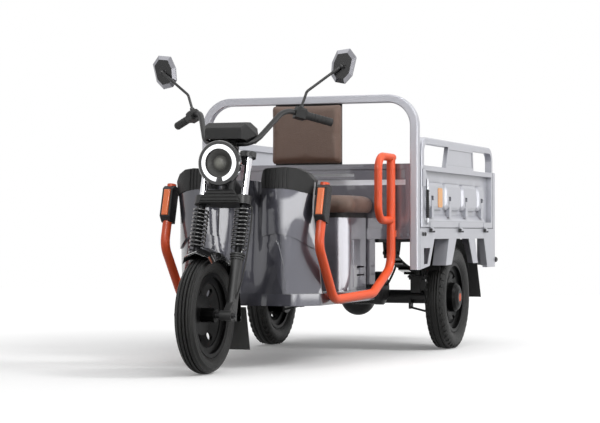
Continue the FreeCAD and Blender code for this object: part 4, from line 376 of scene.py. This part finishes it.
def headboard_paint():
    """Satin paint with two pressed ledges on the front, which face up; a painted highlight makes them pale
    where they would catch the light.
    """
    material = satin_paint("headboard_grey", srgb(104, 103, 110))
    tree = material.node_tree
    shader = tree.nodes["Principled BSDF"]
    at = axes(tree)
    on_face = math_node(tree, "LESS_THAN", at["Y"], HEADBOARD_FACE_Y)
    ledges = []
    slopes = []
    for foot, head, reach in HEADBOARD_LEDGES:
        beside = math_node(tree, "LESS_THAN", math_node(tree, "ABSOLUTE", at["X"]), reach)
        here = math_node(tree, "MULTIPLY", on_face, beside)
        above = math_node(tree, "GREATER_THAN", at["Z"], foot)
        below = math_node(tree, "LESS_THAN", at["Z"], head)
        ledges.append(math_node(tree, "MULTIPLY", math_node(tree, "MULTIPLY", above, below), here))
        slopes.append(math_node(tree, "MULTIPLY", falling(tree, at["Z"], foot, head), here))
    plain_base = shader.inputs["Base Color"].links[0].from_socket
    # Painted highlight: the ledges are painted pale, where the light would catch them.
    pale = drifting(tree, (226, 226, 232), (236, 236, 242), scale=9.0)
    tree.links.new(mixed(tree, math_node(tree, "ADD", *ledges), plain_base, pale), shader.inputs["Base Color"])
    even = shader.inputs["Normal"].links[0].from_socket
    tree.links.new(bump(tree, math_node(tree, "ADD", *slopes), LEDGE_RISE, even), shader.inputs["Normal"])
    return material


def plastic(name, colour, rough, grain_scale, depth):
    material, tree, shader = new_material(name)
    finish_surface(tree, shader, colour, spread=0.12, patch=14.0, rough=rough,
                   grain=cells(tree, grain_scale), depth=depth, edge=0.0015)
    shader.inputs["Specular IOR Level"].default_value = DULL_SHINE
    return material


def bare_metal(name, colour, rough, depth):
    material, tree, shader = new_material(name)
    finish_surface(tree, shader, colour, spread=0.04, patch=30.0, rough=rough,
                   grain=noise(tree, scale=900.0, detail=4.0), depth=depth, edge=0.001)
    shader.inputs["Metallic"].default_value = 1.0
    return material


def leather(name, colour):
    material, tree, shader = new_material(name)
    grain = math_node(tree, "ADD", cells(tree, scale=420.0), noise(tree, scale=60.0))
    finish_surface(tree, shader, colour, spread=0.10, patch=12.0, rough=(0.42, 0.58),
                   grain=grain, depth=0.0005, edge=0.0)
    shader.inputs["Sheen Weight"].default_value = LEATHER_SHEEN
    return material


def tyre_rubber(name, axle_y, axle_z, tread_radius, tread_depth):
    """Rubber with fine raised rings on the side walls and cut lines on the tread."""
    material, tree, shader = new_material(name)
    at = axes(tree)
    radius = distance_from(tree, (at["Y"], axle_y), (at["Z"], axle_z))
    rings = math_node(tree, "SINE", math_node(tree, "MULTIPLY", radius, WALL_RINGS))
    grooves = math_node(tree, "SINE", math_node(tree, "MULTIPLY", at["X"], TREAD_LINES))
    on_tread = rising(tree, radius, tread_radius - TREAD_BLEND, tread_radius)
    wall = math_node(tree, "MULTIPLY", rings, WALL_RING_DEPTH)
    tread = math_node(tree, "MULTIPLY", math_node(tree, "MULTIPLY", grooves, on_tread), tread_depth)
    relief = math_node(tree, "ADD", math_node(tree, "ADD", wall, tread), noise(tree, scale=420.0))
    finish_surface(tree, shader, srgb(26, 26, 25), spread=0.15, patch=18.0, rough=(0.45, 0.6),
                   grain=relief, depth=0.0009, edge=0.001)
    shader.inputs["Specular IOR Level"].default_value = DULL_SHINE
    return material


def lens(name, colour, glow, ribs):
    """Clear coloured lens with moulded ribs behind the face, and a faint glow of its own colour; on the
    gate reflector, which is no lamp, this glow is painted light.
    """
    material, tree, shader = new_material(name)
    wave = bands(tree, "Z", ribs)
    finish_surface(tree, shader, colour, spread=0.08, patch=20.0, rough=(0.25, 0.35),
                   grain=wave, depth=0.0006, edge=0.002)
    tree.links.new(mixed(tree, wave, shade(colour, LENS_SHADE), colour), shader.inputs["Emission Color"])
    shader.inputs["Emission Strength"].default_value = glow
    shader.inputs["Coat Weight"].default_value = LENS_COAT
    return material


def mirror_shell():
    """Silver bevel round a black back plate, told apart by depth."""
    material, tree, shader = new_material("mirror_shell")
    on_bevel = math_node(tree, "GREATER_THAN", axes(tree)["Y"], MIRROR_Y - MIRROR_BEVEL)
    finish_surface(tree, shader, srgb(30, 30, 31), spread=0.1, patch=15.0, rough=(0.22, 0.28),
                   grain=noise(tree, scale=200.0), depth=0.00002, edge=0.001)
    silver = drifting(tree, (138, 138, 143), (150, 150, 155), scale=15.0)
    black = drifting(tree, (24, 24, 25), (32, 32, 33), scale=15.0)
    tree.links.new(mixed(tree, on_bevel, black, silver), shader.inputs["Base Color"])
    tree.links.new(on_bevel, shader.inputs["Metallic"])
    return material


def fender_paint():
    """Gloss black sheet, and dull rubber on the flap behind the wheel."""
    material, tree, shader = new_material("fender")
    flap = math_node(tree, "GREATER_THAN", axes(tree)["Y"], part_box("front_fender")[1].y - FLAP_THICK)
    finish_surface(tree, shader, srgb(24, 24, 25), spread=0.1, patch=9.0, rough=(0.1, 0.2),
                   grain=noise(tree, scale=260.0), depth=0.00002, edge=0.002)
    gloss = drifting(tree, (20, 20, 21), (28, 28, 29), scale=9.0)
    rubber = drifting(tree, (48, 48, 47), (58, 58, 57), scale=30.0)
    tree.links.new(mixed(tree, flap, gloss, rubber), shader.inputs["Base Color"])
    tree.links.new(between(tree, flap, low=0.12, high=0.6), shader.inputs["Roughness"])
    tree.links.new(between(tree, flap, low=1.0, high=0.0), shader.inputs["Coat Weight"])
    shader.inputs["Coat IOR"].default_value = FENDER_COAT_IOR
    return material


def rim_paint():
    """Black wheel paint, with a plain orange centre on the rear hub caps."""
    material, tree, shader = new_material("rim")
    at = axes(tree)
    radius = distance_from(tree, (at["Y"], REAR_AXLE_Y), (at["Z"], REAR_AXLE_Z))
    near = math_node(tree, "LESS_THAN", radius, HUB_CENTRE)
    outside = math_node(tree, "GREATER_THAN", math_node(tree, "ABSOLUTE", at["X"]), HUB_FACE_X)
    centre = math_node(tree, "MULTIPLY", near, outside)
    finish_surface(tree, shader, srgb(20, 20, 20), spread=0.1, patch=20.0, rough=(0.32, 0.4),
                   grain=noise(tree, scale=60.0), depth=0.00005, edge=0.002)
    dark = drifting(tree, (9, 9, 9), (15, 15, 15), scale=25.0)
    warm = drifting(tree, (206, 84, 44), (226, 98, 54), scale=25.0)
    tree.links.new(mixed(tree, centre, dark, warm), shader.inputs["Base Color"])
    shader.inputs["Specular IOR Level"].default_value = RIM_SHINE
    return material


def fork_tube_steel():
    """Chrome above the lower yoke, dark below it, inside the springs."""
    material, tree, shader = new_material("fork_tube")
    bright = math_node(tree, "GREATER_THAN", axes(tree)["Z"], YOKE_Z)
    finish_surface(tree, shader, srgb(60, 60, 62), spread=0.1, patch=25.0, rough=(0.1, 0.2),
                   grain=noise(tree, scale=90.0), depth=0.00001, edge=0.001)
    dark = drifting(tree, (26, 26, 27), (36, 36, 37), scale=40.0)
    chrome = drifting(tree, (222, 222, 226), (232, 232, 236), scale=40.0)
    tree.links.new(mixed(tree, bright, dark, chrome), shader.inputs["Base Color"])
    tree.links.new(between(tree, bright, low=0.4, high=0.07), shader.inputs["Roughness"])
    shader.inputs["Metallic"].default_value = 1.0
    return material


def lamp_bowl():
    """Dark reflector with fine facets round a clear projector lens; a painted glow evens out its shading
    and lightens the lens.
    """
    material, tree, shader = new_material("lamp_bowl")
    at = axes(tree)
    radius = distance_from(tree, (at["X"], 0.0), (at["Z"], LAMP_Z))
    in_core = falling(tree, radius, 0.0, LAMP_CORE)
    facets = cells(tree, scale=260.0)
    finish_surface(tree, shader, srgb(60, 61, 60), spread=0.1, patch=40.0, rough=(0.45, 0.55),
                   grain=facets, depth=0.0001, edge=0.0)
    bowl = mixed(tree, facets, srgb(50, 50, 49), srgb(60, 60, 58))
    # Painted glow: the lighter core stands in for a faint glow at the lens, and the emission evens out the
    # bowl's shading.
    glass = drifting(tree, (96, 96, 90), (124, 124, 116), scale=45.0)
    colour = mixed(tree, in_core, bowl, glass)
    tree.links.new(colour, shader.inputs["Base Color"])
    tree.links.new(colour, shader.inputs["Emission Color"])
    shader.inputs["Emission Strength"].default_value = BOWL_PAINTED_GLOW
    return material


def light_guide():
    """Lit white ring round a dark inner edge."""
    material, tree, shader = new_material("light_guide")
    finish_surface(tree, shader, srgb(250, 250, 250), spread=0.02, patch=30.0, rough=(0.2, 0.3),
                   grain=noise(tree, scale=200.0), depth=0.0002, edge=0.002)
    at = axes(tree)
    radius = distance_from(tree, (at["X"], 0.0), (at["Z"], LAMP_Z))
    on_face = math_node(tree, "GREATER_THAN", radius, LAMP_RING)
    white = drifting(tree, (246, 248, 252), (255, 255, 255), scale=60.0)
    dark = drifting(tree, (40, 40, 40), (52, 52, 52), scale=60.0)
    colour = mixed(tree, on_face, dark, white)
    tree.links.new(colour, shader.inputs["Base Color"])
    tree.links.new(colour, shader.inputs["Emission Color"])
    tree.links.new(on_face, shader.inputs["Emission Strength"])
    return material


def glass_screen():
    """Dark display under clear glass."""
    material, tree, shader = new_material("display")
    finish_surface(tree, shader, srgb(16, 18, 22), spread=0.3, patch=30.0, rough=(0.05, 0.1),
                   grain=noise(tree, scale=120.0), depth=0.0001, edge=0.001)
    shader.inputs["Coat Weight"].default_value = 1.0
    return material


MATERIALS = {
    "frame_black": paint("frame_black", srgb(20, 20, 21), metallic=0.0, rough=(0.4, 0.55), coat=0.05),
    # Its paint carries painted shade in the inner corners.
    "box_silver": paint("box_silver", srgb(188, 189, 196), metallic=0.35, rough=(0.32, 0.42), coat=0.2,
                        crease=0.03),
    "shield_grey": satin_paint("shield_grey", srgb(72, 72, 80)),
    "bar_orange": paint("bar_orange", srgb(255, 92, 38), metallic=0.0, rough=(0.40, 0.48), coat=0.05,
                        grain=0.00002),
    "black_plastic": plastic("black_plastic", srgb(28, 28, 28), rough=(0.45, 0.58), grain_scale=900.0,
                             depth=0.0003),
    "gloss_black": paint("gloss_black", srgb(24, 24, 25), metallic=0.0, rough=(0.08, 0.14), coat=1.0),
    "signal_orange": lens("signal_orange", srgb(255, 124, 62), glow=0.2, ribs=60.0),
    "lamp_white": light_guide(),
    "lamp_red": lens("lamp_red", srgb(160, 18, 16), glow=0.05, ribs=60.0),
    "lamp_lens": lamp_bowl(),
    "screen": glass_screen(),
    "seat_brown": leather("seat_brown", srgb(108, 84, 71)),
    "rubber": plastic("rubber", srgb(46, 46, 46), rough=(0.5, 0.65), grain_scale=700.0, depth=0.0004),
    "rim": rim_paint(),
    "fork_grey": paint("fork_grey", srgb(46, 46, 46), metallic=0.0, rough=(0.45, 0.55), coat=0.0),
    "spring_black": paint("spring_black", srgb(20, 20, 20), metallic=0.0, rough=(0.12, 0.2), coat=1.0,
                          edge=0.0, grain=0.00001),
    "steel": bare_metal("steel", srgb(170, 171, 174), rough=(0.28, 0.42), depth=0.00006),
    "aluminium": bare_metal("aluminium", srgb(178, 179, 182), rough=(0.35, 0.5), depth=0.00012),
    "battery": plastic("battery", srgb(42, 43, 46), rough=(0.45, 0.6), grain_scale=500.0, depth=0.0003),
    "mirror": bare_metal("mirror", srgb(228, 230, 233), rough=(0.02, 0.04), depth=0.00001),
    "mirror_shell": mirror_shell(),
    # Gate reflector lens; its glow is painted light, as a reflector is no lamp.
    "amber": lens("amber", srgb(255, 176, 92), glow=0.15, ribs=220.0),
}
FRONT_TYRE = tyre_rubber("tyre_front", FRONT_AXLE.y, FRONT_AXLE.z, FRONT_TREAD_RADIUS, FRONT_TREAD_DEPTH)
REAR_TYRE = tyre_rubber("tyre_rear", REAR_AXLE_Y, REAR_AXLE_Z, REAR_TREAD_RADIUS, REAR_TREAD_DEPTH)
OWN_MATERIALS = {
    "front_tyre": FRONT_TYRE,
    "rear_tyre_left": REAR_TYRE,
    "rear_tyre_right": REAR_TYRE,
    "fork_tubes": fork_tube_steel(),
    "front_fender": fender_paint(),
    "front_axle": bare_metal("axle_steel", srgb(64, 64, 65), rough=(0.4, 0.5), depth=0.00006),
    "seat_box": satin_paint("seat_box_grey", srgb(122, 121, 129)),
    "headboard": headboard_paint(),
}


def dress(obj, material):
    obj.data.materials.clear()
    obj.data.materials.append(material)


for part in frame["record"]["subparts"]:
    name, slot = part["node"], part["material_slot"]
    dress(NODES[name], OWN_MATERIALS[name] if name in OWN_MATERIALS else MATERIALS[slot])


# Mesh helpers
def add_mesh(name, material, build):
    """New object whose mesh is filled by a function that gets a bmesh."""
    mesh = bpy.data.meshes.new(name)
    shape = bmesh.new()
    build(shape)
    bmesh.ops.recalc_face_normals(shape, faces=shape.faces)
    shape.to_mesh(mesh)
    shape.free()
    obj = bpy.data.objects.new(name, mesh)
    bpy.context.scene.collection.objects.link(obj)
    mesh.materials.append(material)
    return obj


def smooth(obj, angle=SHARP_ANGLE):
    for polygon in obj.data.polygons:
        polygon.use_smooth = True
    obj.data.set_sharp_from_angle(angle=math.radians(angle))
    return obj


def trim(name, slot, body, build, material=None):
    """Small piece that rides on a body."""
    obj = smooth(add_mesh(name, material or MATERIALS[slot], build))
    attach(obj, body)


def rod(shape, start, end, radius, sides=20):
    start, end = Vector(start), Vector(end)
    along = end - start
    turn = along.to_track_quat("Z", "Y").to_matrix().to_4x4()
    place = Matrix.Translation((start + end) / 2) @ turn
    bmesh.ops.create_cone(shape, cap_ends=True, segments=sides, radius1=radius, radius2=radius,
                          depth=along.length, matrix=place)


def prism(shape, outline, shift):
    """Solid from a flat outline of points, pushed along a vector."""
    near = [shape.verts.new(p) for p in outline]
    far = [shape.verts.new(Vector(p) + Vector(shift)) for p in outline]
    shape.faces.new(near)
    shape.faces.new(far)
    for i in range(len(near)):
        j = (i + 1) % len(near)
        shape.faces.new((near[i], near[j], far[j], far[i]))
    return near + far


def soft_line(points, steps=8):
    """Points along a smooth curve through the given points."""
    ends = [points[0] * 2 - points[1]] + list(points) + [points[-1] * 2 - points[-2]]
    line = []
    for a, b, c, d in zip(ends, ends[1:], ends[2:], ends[3:]):
        for step in range(steps):
            t = step / steps
            line.append(0.5 * (2 * b + (c - a) * t + (2 * a - 5 * b + 4 * c - d) * t * t
                               + (3 * b - a - 3 * c + d) * t ** 3))
    return line + [points[-1]]


def hose(shape, points, radius, sides=10):
    """Round cable along a line of points."""
    rings = []
    for i, point in enumerate(points):
        ahead = points[min(i + 1, len(points) - 1)] - points[max(i - 1, 0)]
        side = ahead.cross(CABLE_SIDE).normalized()
        up = side.cross(ahead).normalized()
        turns = [2 * math.pi * k / sides for k in range(sides)]
        spokes = [side * math.cos(turn) + up * math.sin(turn) for turn in turns]
        rings.append([shape.verts.new(point + spoke * radius) for spoke in spokes])
    for near, far in zip(rings, rings[1:]):
        for k in range(sides):
            shape.faces.new((near[k], near[k - 1], far[k - 1], far[k]))
    shape.faces.new(rings[0])
    shape.faces.new(rings[-1])


# Spring copies: the fork coils made wider about their legs, the leaf packs unchanged
def copy_of(node, name):
    obj = bpy.data.objects.new(name, NODES[node].data.copy())
    bpy.context.scene.collection.objects.link(obj)
    return obj


coils = copy_of("fork_springs", "fork_coils")
for vertex in coils.data.vertices:
    foot = LEG_FOOT + Vector((math.copysign(LEG_X, vertex.co.x), 0, 0))
    axis_point = foot + FORK_UP * (vertex.co - foot).dot(FORK_UP)
    vertex.co = axis_point + (vertex.co - axis_point) * COIL_GROWTH
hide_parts("fork_springs")
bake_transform(coils)

leaves = copy_of("leaf_springs", "leaf_packs")
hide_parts("leaf_springs")
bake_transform(leaves)


# Cushions
def cushion(node, name, body, held):
    """Foam pad blown up a little by a short cloth run, held at the plate that carries it."""
    obj = copy_of(node, name)
    bpy.context.view_layer.objects.active = obj
    remesh = obj.modifiers.new("remesh", "REMESH")
    remesh.mode = "VOXEL"
    remesh.voxel_size = CUSHION_VOXEL
    bpy.ops.object.modifier_apply(modifier=remesh.name)
    start = [v.co.copy() for v in obj.data.vertices]
    cloth = obj.modifiers.new("cloth", "CLOTH")
    cloth.settings.use_pressure = True
    cloth.settings.uniform_pressure_force = CUSHION_PRESSURE
    cloth.settings.effector_weights.gravity = 0.0
    cloth.point_cache.frame_start = 1
    cloth.point_cache.frame_end = CUSHION_FRAMES
    for number in range(1, CUSHION_FRAMES + 1):
        bpy.context.scene.frame_set(number)
    bpy.ops.object.modifier_apply(modifier=cloth.name)
    bpy.context.scene.frame_set(1)
    for vertex, rest in zip(obj.data.vertices, start):
        move = vertex.co - rest
        if move.length > CUSHION_REACH:
            move = move.normalized() * CUSHION_REACH
        vertex.co = held(rest + move)
    fine = obj.modifiers.new("fine", "SUBSURF")
    fine.levels = 1
    fine.render_levels = 1
    smooth(obj, CUSHION_ANGLE)
    dress(obj, MATERIALS["seat_brown"])
    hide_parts(node)
    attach(obj, body)


SEAT_FOOT_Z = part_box("seat_cushion")[0].z
BACKREST_BACK_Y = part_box("backrest_pad")[1].y


def above_pan(point):
    return Vector((point.x, point.y, max(point.z, SEAT_FOOT_Z)))


def before_board(point):
    return Vector((point.x, min(point.y, BACKREST_BACK_Y), point.z))


cushion("seat_cushion", "seat_padding", "seat", above_pan)
cushion("backrest_pad", "backrest_padding", "chassis", before_board)


# Tread lugs on the shoulders of the rear tyres
def lug_rows(shape, x):
    axle = Matrix.Translation((x, REAR_AXLE_Y, REAR_AXLE_Z))
    for side in (-1, 1):
        for i in range(LUGS):
            points = [Vector((side * a, -LUG_HALF, r)) for a, r in LUG_OUTLINE]
            lug = prism(shape, points, (0, 2 * LUG_HALF, 0))
            turn = Matrix.Rotation(2 * math.pi * (i + LUG_STAGGER * side) / LUGS, 4, "X")
            bmesh.ops.transform(shape, matrix=axle @ turn, verts=lug)


trim("tread_lugs_left", "tyre", "rear_wheel_left", lambda s: lug_rows(s, WHEEL_X), REAR_TYRE)
trim("tread_lugs_right", "tyre", "rear_wheel_right", lambda s: lug_rows(s, -WHEEL_X), REAR_TYRE)


# Side gate trim: spring latch, its keeper and a reflector
def latch_sleeve(shape, side):
    pitch = (LATCH_TOP_Z - LATCH_FOOT_Z) / LATCH_RINGS
    for i in range(LATCH_RINGS):
        foot = LATCH_FOOT_Z + i * pitch
        for low, high, radius in ((0, SLEEVE_RIDGE, SLEEVE_RADIUS), (SLEEVE_RIDGE, 1, SLEEVE_NECK)):
            rod(shape, (side * LATCH_X, LATCH_Y, foot + low * pitch),
                (side * LATCH_X, LATCH_Y, foot + high * pitch), radius)


def latch_rod(shape, side):
    x = side * LATCH_X
    outer = x + side * LATCH_BRACKET_REACH
    rod(shape, (x, LATCH_Y, LATCH_BRACKET_Z), (x, LATCH_Y, LATCH_TOP_Z + LATCH_ROD_RISE), LATCH_ROD_RADIUS)
    rod(shape, (x, LATCH_Y, LATCH_TOP_Z), (x, LATCH_Y, LATCH_TOP_Z + LATCH_COLLAR), LATCH_COLLAR_RADIUS)
    rod(shape, (side * BOX_SIDE_X, LATCH_Y, LATCH_BRACKET_Z), (outer, LATCH_Y, LATCH_BRACKET_Z),
        LATCH_BRACKET_RADIUS)


def latch_keeper(shape, side):
    points = [Vector((side * BOX_SIDE_X, y, z)) for y, z in KEEPER]
    prism(shape, points, (side * KEEPER_THICK, 0, 0))


def gate_reflector(shape, side):
    points = [Vector((side * REFLECTOR_X, y, z)) for y, z in REFLECTOR]
    prism(shape, points, (side * REFLECTOR_THICK, 0, 0))


for side, label in ((1, "left"), (-1, "right")):
    gate = "gate_" + label
    trim("latch_sleeve_" + label, "rubber", gate, lambda s: latch_sleeve(s, side))
    trim("latch_rod_" + label, "steel", gate, lambda s: latch_rod(s, side))
    trim("latch_keeper_" + label, "box_silver", gate, lambda s: latch_keeper(s, side))
    # The reflector's amber lens carries a painted glow.
    trim("reflector_" + label, "signal_orange", gate, lambda s: gate_reflector(s, side), MATERIALS["amber"])


# Bolt heads on the side rails
def side_bolts(shape):
    for side in (-1, 1):
        for y, z in RAIL_BOLTS:
            face = side * BOX_SIDE_X
            rod(shape, (face, y, z), (face + side * WASHER_THICK, y, z), WASHER_RADIUS)
            rod(shape, (face, y, z), (face + side * BOLT_HEAD, y, z), BOLT_RADIUS, BOLT_SIDES)


trim("rail_bolts", "frame_black", "chassis", side_bolts)


# Cables, baked in place
def cable(name, slot, points, radius):
    """Cable between two bodies, its first end on the fixed one."""
    line = soft_line(points)
    obj = smooth(add_mesh(name, MATERIALS[slot], lambda s: hose(s, line, radius)))
    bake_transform(obj)


front_points = [on_fork(*place) for place in FRONT_CABLE]
motor_points = [Vector(place) for place in MOTOR_CABLE]
cable("front_brake_cable", "rubber", front_points, FRONT_CABLE_RADIUS)
cable("motor_cable", "rubber", motor_points, MOTOR_CABLE_RADIUS)


# Stage
def background_rays(tree):
    """Rays that show the white background: from the camera, from gloss and through glass."""
    path = tree.nodes.new("ShaderNodeLightPath").outputs
    mirrored = math_node(tree, "MAXIMUM", path["Is Glossy Ray"], path["Is Transmission Ray"])
    return math_node(tree, "MAXIMUM", path["Is Camera Ray"], mirrored)


def make_floor():
    """Pale floor that keeps the shadow near the object and fades to white further out."""
    material, tree, shader = new_material("stage_floor")
    at = axes(tree)
    radius = distance_from(tree, (at["X"], FLOOR_MIDDLE[0]), (at["Y"], FLOOR_MIDDLE[1]))
    seen = background_rays(tree)
    far = rising(tree, radius, FLOOR_NEAR, FLOOR_FAR)
    pale = mixed(tree, far, FLOOR_PALE, FLOOR_DULL)
    tree.links.new(mixed(tree, seen, FLOOR_DULL, pale), shader.inputs["Base Color"])
    shader.inputs["Roughness"].default_value = FLOOR_ROUGHNESS
    shader.inputs["Specular IOR Level"].default_value = 0.0
    shader.inputs["Emission Color"].default_value = (1, 1, 1, 1)
    glow = between(tree, far, low=FLOOR_GLOW, high=1.0)
    tree.links.new(math_node(tree, "MULTIPLY", glow, seen), shader.inputs["Emission Strength"])
    floor = add_mesh("stage_floor", material,
                     lambda s: bmesh.ops.create_grid(s, x_segments=1, y_segments=1, size=FLOOR_SIZE))


def area_light(name, at, towards, size, power):
    light = bpy.data.lights.new(name, "AREA")
    light.shape = "RECTANGLE"
    light.size, light.size_y = size
    light.energy = power
    obj = bpy.data.objects.new(name, light)
    bpy.context.scene.collection.objects.link(obj)
    obj.location = at
    obj.rotation_mode = "QUATERNION"
    obj.rotation_quaternion = (Vector(towards) - Vector(at)).to_track_quat("-Z", "Y")
    return obj


def make_world():
    """White where it is seen, a room dimmer on the left as light, and a long softbox in the reflections."""
    world = bpy.data.worlds.new("studio")
    bpy.context.scene.world = world
    world.use_nodes = True
    tree = world.node_tree
    background = tree.nodes["Background"]
    split = tree.nodes.new("ShaderNodeSeparateXYZ")
    tree.links.new(tree.nodes.new("ShaderNodeTexCoord").outputs["Generated"], split.inputs[0])
    x, y, z = split.outputs
    room = between(tree, x, low=ROOM_LIGHT * ROOM_LEFT, high=ROOM_LIGHT * ROOM_RIGHT,
                   start=-ROOM_SPREAD, end=ROOM_SPREAD)
    softbox = tree.nodes.new("ShaderNodeLightPath").outputs["Is Glossy Ray"]
    for edge in (rising(tree, z, *SOFTBOX_FOOT), falling(tree, z, *SOFTBOX_TOP),
                 rising(tree, x, *SOFTBOX_LEFT), falling(tree, y, *SOFTBOX_BACK)):
        softbox = math_node(tree, "MULTIPLY", softbox, edge)
    plain = math_node(tree, "MAXIMUM", room, background_rays(tree))
    strength = math_node(tree, "ADD", plain, math_node(tree, "MULTIPLY", softbox, SOFTBOX))
    background.inputs["Color"].default_value = (1, 1, 1, 1)
    tree.links.new(strength, background.inputs["Strength"])


def make_camera():
    data = bpy.data.cameras.new("camera")
    data.sensor_fit = "HORIZONTAL"
    data.sensor_width = SENSOR
    data.lens = FOCAL_PIXELS * SENSOR / PHOTO_WIDTH
    data.clip_end = VIEW_END
    camera = bpy.data.objects.new("camera", data)
    bpy.context.scene.collection.objects.link(camera)
    turn, tilt = math.radians(CAMERA_TURN), math.radians(CAMERA_TILT)
    ahead = Vector((-math.sin(turn) * math.cos(tilt), math.cos(turn) * math.cos(tilt), math.sin(tilt)))
    camera.location = CAMERA_AT
    camera.rotation_mode = "QUATERNION"
    camera.rotation_quaternion = ahead.to_track_quat("-Z", "Y")
    bpy.context.scene.camera = camera


make_floor()
make_world()
make_camera()
area_light("key", at=(4.5, 0.0, 4.0), towards=(0.3, 0.2, 0.5), size=(1.6, 1.6), power=112.0)
strip = area_light("front_strip", at=(0.3, -5.5, 3.6), towards=(0, -0.6, 0.6), size=(3.0, 0.8), power=150.0)
strip.visible_diffuse = False
area_light("top", at=(0, 0.5, 5.0), towards=(0, 0.3, 0.0), size=(4.0, 5.0), power=60.0)
bpy.context.scene.view_settings.view_transform = "Standard"
